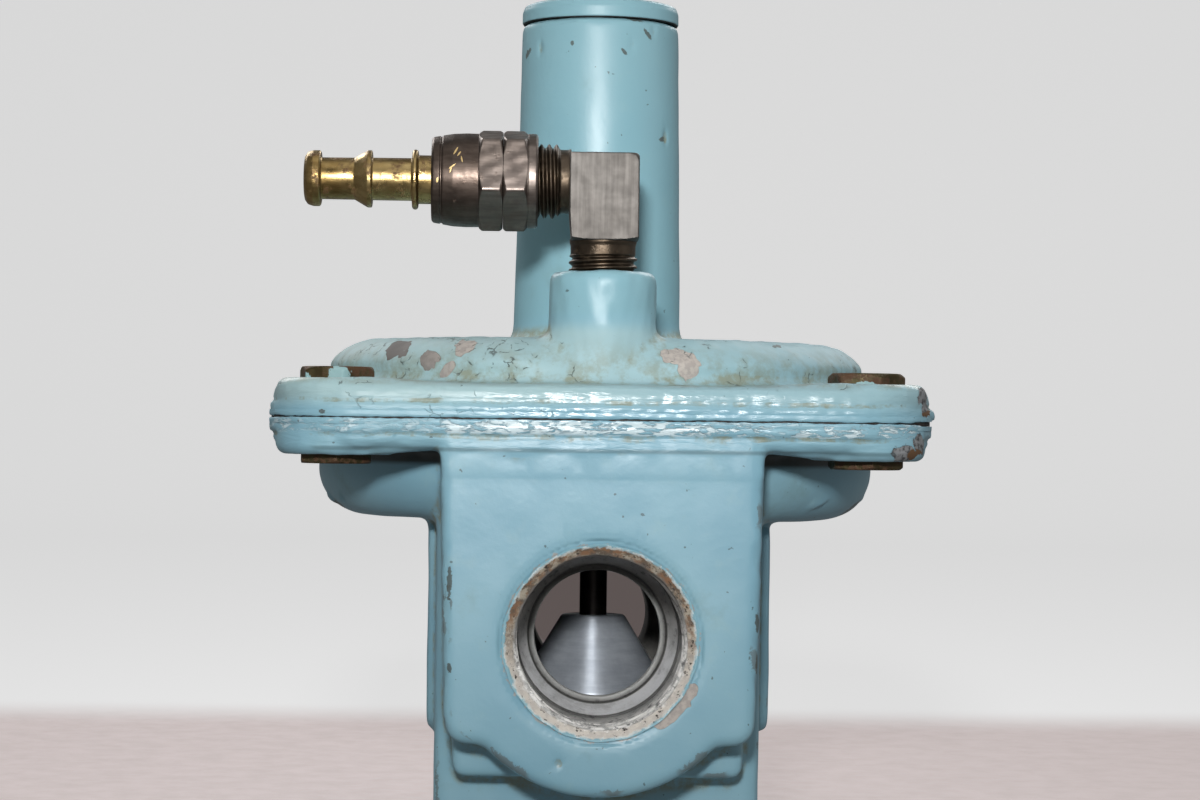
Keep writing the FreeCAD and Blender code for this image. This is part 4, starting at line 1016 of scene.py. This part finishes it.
def elbow_block():
    """Square bar with softened edges, turned off at the lower and side legs."""
    middle = np.array([0.0, LOADING_Y, 129.05])
    half = np.array([6.4, 6.4, 8.05])
    parts = 56
    steps = np.linspace(-1, 1, parts + 1)
    sheet = np.stack(np.meshgrid(steps, steps, indexing="ij"), axis=-1).reshape(-1, 2)
    points, faces = [], []
    for axis in range(3):
        for side in (-1, 1):
            faces += quad_grid(parts + 1, parts + 1, False, False, len(points) * len(sheet))
            face = np.column_stack([np.full(len(sheet), side), sheet])
            points.append(np.roll(face, axis, axis=1))
    points = np.concatenate(points)
    spread = np.sign(points) * (1 - (1 - np.abs(points)) ** 1.6)
    local = spread * half
    top_right = ramp(local[:, 0], 4.6, 6.0) * ramp(local[:, 2], 6.2, 7.6)
    edge_r = (0.28 + 0.55 * top_right)[:, None]
    core = np.clip(local, -(half - edge_r), half - edge_r)
    away = local - core
    local = core + away / np.maximum(np.linalg.norm(away, axis=1), 1e-9)[:, None] * edge_r
    from_leg = np.hypot(local[:, 0], local[:, 1])
    local[:, 2] = np.maximum(local[:, 2], -half[2] + 0.245 * np.maximum(from_leg - 6.4, 0))
    from_hose = np.hypot(local[:, 1], local[:, 2] + middle[2] - HOSE_Z)
    local[:, 0] = np.maximum(local[:, 0], -half[0] + 0.09 * np.maximum(from_hose - 6.4, 0))
    new_object("elbow_block", local + middle, faces, ELBOW_METAL, "housing", "pipe_elbow",
               "elbow_steel", sharp=30)


def pipe_thread(start, full, falling, end, inner, cut, crest):
    """A shape for turned(): a thread cut between two places, outside the inner radius."""
    def shape(radius, along, angle):
        fade = ramp(along, start, full) * ramp(along, end, falling)
        return radius + (radius > inner) * fade * (crest * helix(along, angle, PIPE_PITCH) - cut)
    return shape


def elbow_legs():
    """The threaded lower leg in the boss and the side leg in the swivel nut."""
    lower = rounded([(106.2, 0), (106.2, 5.6), (106.9, 6.1), (118.2, 6.1), (118.5, 6.02),
                     (120.2, 6.02), (120.7, 6.2), (121.4, 6.2), (121.4, 0)], 0.2)
    turned("elbow_lower_leg", finer(lower, 0.10), upright(0, LOADING_Y), NECK_METAL,
           node="pipe_elbow", segments=168, sharp=60,
           shape=pipe_thread(107.0, 108.5, 118.0, 118.6, 5.5, 0.42, 0.66))
    side = rounded([(-6.1, 0), (-6.1, 6.1), (-6.7, 5.9), (-8.1, 5.87), (-8.5, 6.5), (-15.6, 6.5),
                    (-16.0, 6.0), (-16.0, 0)], 0.2)
    turned("elbow_side_leg", finer(side, 0.10), hose_line, NECK_METAL,
           node="pipe_elbow", segments=168, sharp=60,
           shape=pipe_thread(-8.1, -8.9, -15.2, -15.9, 5.6, 0.35, 0.74))


def hose_hexagon(upper, lower):
    """The six worn flats of the hose end between two places on its axis."""
    def nick(along, angle):
        return 0.05 * np.sin(5 * angle + along) * np.sin(13 * angle + 2)
    return hexagon_cut(17.2, HOSE_HEX_TURN, 0.22, 8.2, nick, upper, lower)


def hose_end():
    """Swivel nut, hose end body and barb, on the hose axis."""
    segments = 216
    nut = rounded([(-12.2, 6.98), (-12.2, 8.35), (-12.55, 8.72), (-13.9, 8.72), (-14.15, 8.6),
                   (-14.2, 8.95), (-14.75, 9.93), (-18.0, 9.93), (-18.58, 8.9), (-18.58, 5.08),
                   (-17.6, 5.08), (-17.6, 6.98)], 0.16, closed=True)
    turned("swivel_nut_looks", finer(nut, 0.35, True), hose_line, BRONZE, "housing",
           "swivel_nut", "bronze", segments, hose_hexagon(-14.16, -18.6), closed=True)
    body = rounded([(-16.1, 0), (-16.1, 5.3), (-16.5, 5.9), (-16.9, 5.9), (-16.9, 4.98),
                    (-18.66, 4.98), (-18.66, 8.9), (-19.2, 9.93), (-22.4, 9.93), (-22.98, 8.95),
                    (-23.05, 8.62), (-25.4, 8.66), (-27.8, 8.54), (-29.75, 8.22), (-29.85, 7.98),
                    (-30.15, 7.96), (-30.3, 8.12), (-31.45, 7.92), (-31.8, 7.55), (-31.8, 4.5),
                    (-31.5, 0)], 0.16)
    turned("hose_end_body_looks", finer(body, 0.35), hose_line, BRONZE, "hose_end",
           "hose_end_body", "bronze", segments, hose_hexagon(-18.64, -23.0))
    barb = rounded([(-30.5, 0), (-30.5, 4.5), (-34.25, 4.5), (-34.3, 5.25), (-34.6, 5.54),
                    (-35.1, 5.54), (-35.4, 5.2), (-35.45, 3.95), (-42.7, 3.93), (-42.8, 5.1),
                    (-42.9, 5.28), (-43.6, 5.28), (-46.0, 3.88), (-52.15, 3.86), (-52.2, 4.85),
                    (-52.45, 5.16), (-53.6, 5.16), (-54.6, 4.85), (-55.15, 4.1), (-55.3, 3.3),
                    (-55.3, 2.7), (-54.9, 2.2), (-46.0, 2.2), (-46.0, 0)], 0.18)
    turned("hose_barb_looks", finer(barb, 0.4), hose_line, BRASS, "hose_end",
           "hose_barb", "barb_brass", segments)


# --- tower, spring, diaphragm and valve ---------------------------------------

def tower_cap():
    """The closing cap: threaded spigot, rounded disc and hexagon socket."""
    outline = rounded([(161.4, 0), (161.4, 11.7), (162.1, 12.3), (166.8, 12.3), (166.8, 14.8),
                       (166.3, 14.9), (166.3, 15.3), (166.45, 15.47), (168.4, 15.45), (169.6, 15.0),
                       (170.0, 14.0), (170.0, 8.75), (169.7, 8.1), (164.3, 8.06), (164.0, 7.6),
                       (163.8, 0)], 0.3)

    def cap_shape(radius, along, angle):
        socket_flats, socket_corner = 14.0, 8.083
        socket = (along > 163.7) & (radius < 8.3)
        flat = hexagon_reach(angle, socket_flats, 0.3)
        shaped = np.where(socket, radius * flat / socket_corner, radius)
        thread = (radius > 12.0) & (radius < 12.4) & (along < 166.6)
        fade = ramp(along, 161.9, 162.5) * ramp(along, 166.5, 165.9)
        return shaped - thread * fade * 0.45 * (1 - helix(along, angle, CAP_PITCH))

    turned("tower_cap_looks", finer(outline, 0.12), upright(0, 0), PAINT, "cap",
           "tower_cap", "body_paint", 180, cap_shape)


def half_spring(name, low, high):
    """One half of the range spring; its inner end stays at the middle of the tower."""
    coil_r, wire_r, turns = 9.6, 1.3, 4.25
    rings = int(44 * turns)
    sides = 12
    share = np.linspace(0, 1, rings)
    angle = share * turns * TAU
    level = low + (high - low) * share
    centre = np.column_stack([coil_r * np.cos(angle), coil_r * np.sin(angle), level])
    around = TAU * np.arange(sides) / sides
    outward = np.column_stack([np.cos(angle), np.sin(angle), np.zeros(rings)])
    points = (centre[:, None, :] + wire_r * np.cos(around)[None, :, None] * outward[:, None, :]
              + wire_r * np.sin(around)[None, :, None] * np.array([0.0, 0.0, 1.0]))
    faces = quad_grid(rings, sides)
    faces.append(tuple(range(sides)))
    faces.append(tuple((rings - 1) * sides + side for side in reversed(range(sides))))
    made = new_object(name, points.reshape(-1, 3), faces, STEEL, "housing", "range_spring",
                      "spring_steel")
    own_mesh(made)


def range_spring():
    """The range spring in two halves, which meet at the middle of the tower."""
    half_spring("range_spring_lower", SPRING_LOW + 1.3, SPRING_MIDDLE)
    half_spring("range_spring_upper", SPRING_MIDDLE, SPRING_HIGH - 1.3)


def diaphragm():
    """The moulded rubber sheet, square at its rim and stepping down to a flat middle."""
    above = [(88.4, 60.55), (88.4, 45.0), (88.2, 43.4), (86.6, 40.6), (85.0, 37.2), (84.4, 34.4),
             (84.4, 14.0), (84.4, 2.72)]
    below = [(along - 0.8, radius) for along, radius in reversed(above)]
    outline = finer(rounded(above, 1.0), 1.2) + finer(rounded(below, 1.0), 1.2)

    def squared(radius, along, angle):
        flat_from, half, corner_r = 45.0, 60.55, 16.2
        wide, high = np.abs(np.cos(angle)), np.abs(np.sin(angle))
        reach = half / np.maximum(wide, high)
        for _ in range(30):
            over_x = np.maximum(reach * wide - half + corner_r, 0)
            over_y = np.maximum(reach * high - half + corner_r, 0)
            reach = reach - np.maximum(np.hypot(over_x, over_y) - corner_r, 0)
        share = np.clip((radius - flat_from) / (half - flat_from), 0, 1)
        return radius * (1 - share) + reach * share

    made = turned("diaphragm_looks", outline, upright(0, 0), DIAPHRAGM_RUBBER, None,
                  "diaphragm", "diaphragm_rubber", 240, squared, closed=True)
    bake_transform(made)


def valve_cone():
    """The aluminium valve cone, with small broken edges."""
    outline = rounded([(36.5, 2.72), (36.5, 13.04), (34.2, 13.04), (34.2, 14.85), (34.95, 15.0),
                       (49.15, 6.4), (49.5, 6.0), (49.5, 2.72)], 0.3, closed=True)
    turned("valve_cone_looks", finer(outline, 0.5, True), upright(0, 0), ALUMINIUM,
           "valve_train", "valve_plug", "plug_aluminium", 180, closed=True)


CARRIED = [
    (STEEL, ("lower_diaphragm_plate", "upper_diaphragm_plate", "stem_jam_nut", "lock_washer",
             "stem_nut", "lower_spring_seat", "upper_spring_seat", "disc_washer", "disc_nut",
             "plate_circlip", "swivel_wire")),
    (DARK_STEEL, ("valve_stem",)),
    (ALUMINIUM, ("guide_plate",)),
    (SEAT_BRASS, ("stem_bushing", "seat_ring", "adjusting_screw")),
    (RUBBER, ("valve_disc", "seat_seal")),
    (DIAPHRAGM_RUBBER, ("cap_gasket",)),
]

add_ports()
seam_paint("seam_paint_upper", 1, 21)
seam_paint("seam_paint_lower", -1, 31)
for number, (bolt_x, bolt_y) in enumerate(CORNERS, 1):
    bolt_and_nut(number, bolt_x, bolt_y)
elbow_block()
elbow_legs()
hose_end()
tower_cap()
range_spring()
diaphragm()
valve_cone()
for look, node_names in CARRIED:
    for node_name in node_names:
        carried = NODES[node_name].data
        carried.materials.clear()
        carried.materials.append(look)


# --- camera, light and stage --------------------------------------------------

def add_camera():
    camera = in_scene("camera", bpy.data.cameras.new("camera"))
    camera.data.lens = 93.0
    camera.data.clip_start = 10 * MM
    camera.location = Vector((-14.8, -615.0, 88.0)) * MM
    aside, upward, leaning = math.radians(1.458), math.radians(0.37), math.radians(0.74)
    aim = Vector((math.sin(aside), math.cos(aside), math.tan(upward)))
    roll = Matrix.Rotation(leaning, 3, "Z").to_quaternion()
    camera.rotation_mode = "QUATERNION"
    camera.rotation_quaternion = aim.to_track_quat("-Z", "Y") @ roll
    bpy.context.scene.camera = camera


def add_area(name, place, aim, size, power, spread=math.pi):
    """A square lamp of a power in watts, at a place and facing a point."""
    lamp = bpy.data.lights.new(name, "AREA")
    lamp.energy = power
    lamp.size = size * MM
    lamp.spread = spread
    made = in_scene(name, lamp)
    made.location = Vector(place) * MM
    direction = Vector(aim) - Vector(place)
    made.rotation_mode = "QUATERNION"
    made.rotation_quaternion = direction.to_track_quat("-Z", "Y")
    return made


def add_backdrop():
    """A round floor that bends up into a wall on all sides."""
    flat, bend, top = 1650.0, 500.0, 2200.0
    outline = [(0.0, 0.0), (0.0, flat)]
    for step in range(1, 13):
        angle = step / 12 * math.pi / 2
        outline.append((bend * (1 - math.cos(angle)), flat + bend * math.sin(angle)))
    outline.append((top, flat + bend))
    made = turned("backdrop", outline, upright(0, 0), BACKDROP, None, segments=96)
    made.visible_diffuse = False
    made.visible_glossy = False
    return made


def add_stage():
    """The backdrop, a weak sky, a narrow key lamp and five soft fills."""
    backdrop = add_backdrop()
    world = bpy.data.worlds.new("studio")
    bpy.context.scene.world = world
    world.use_nodes = True
    sky = world.node_tree.nodes["Background"].inputs
    sky["Color"].default_value = (1.0, 1.0, 1.0, 1.0)
    sky["Strength"].default_value = 0.16
    middle = (0, 0, 80)
    add_area("key", (-43, -640, 225), (0, 0, 130), 50, 0.19, math.radians(42))
    add_area("top_fill", (0, -300, 1100), (0, 0, 90), 800, 1.6)
    fills = [add_area("left_fill", (-1100, -200, 500), middle, 800, 0.2),
             add_area("right_fill", (1100, -200, 500), middle, 800, 1.0),
             add_area("rear_left", (-600, 1000, 900), middle, 600, 6.0),
             add_area("rear_right", (600, 1000, 900), middle, 600, 6.0)]
    unlit = bpy.data.collections.new("not_lit_by_fills")
    unlit.objects.link(backdrop)
    unlit.collection_objects[0].light_linking.link_state = "EXCLUDE"
    for lamp in fills:
        lamp.light_linking.receiver_collection = unlit


add_camera()
add_stage()
bpy.context.scene.view_settings.view_transform = "Standard"
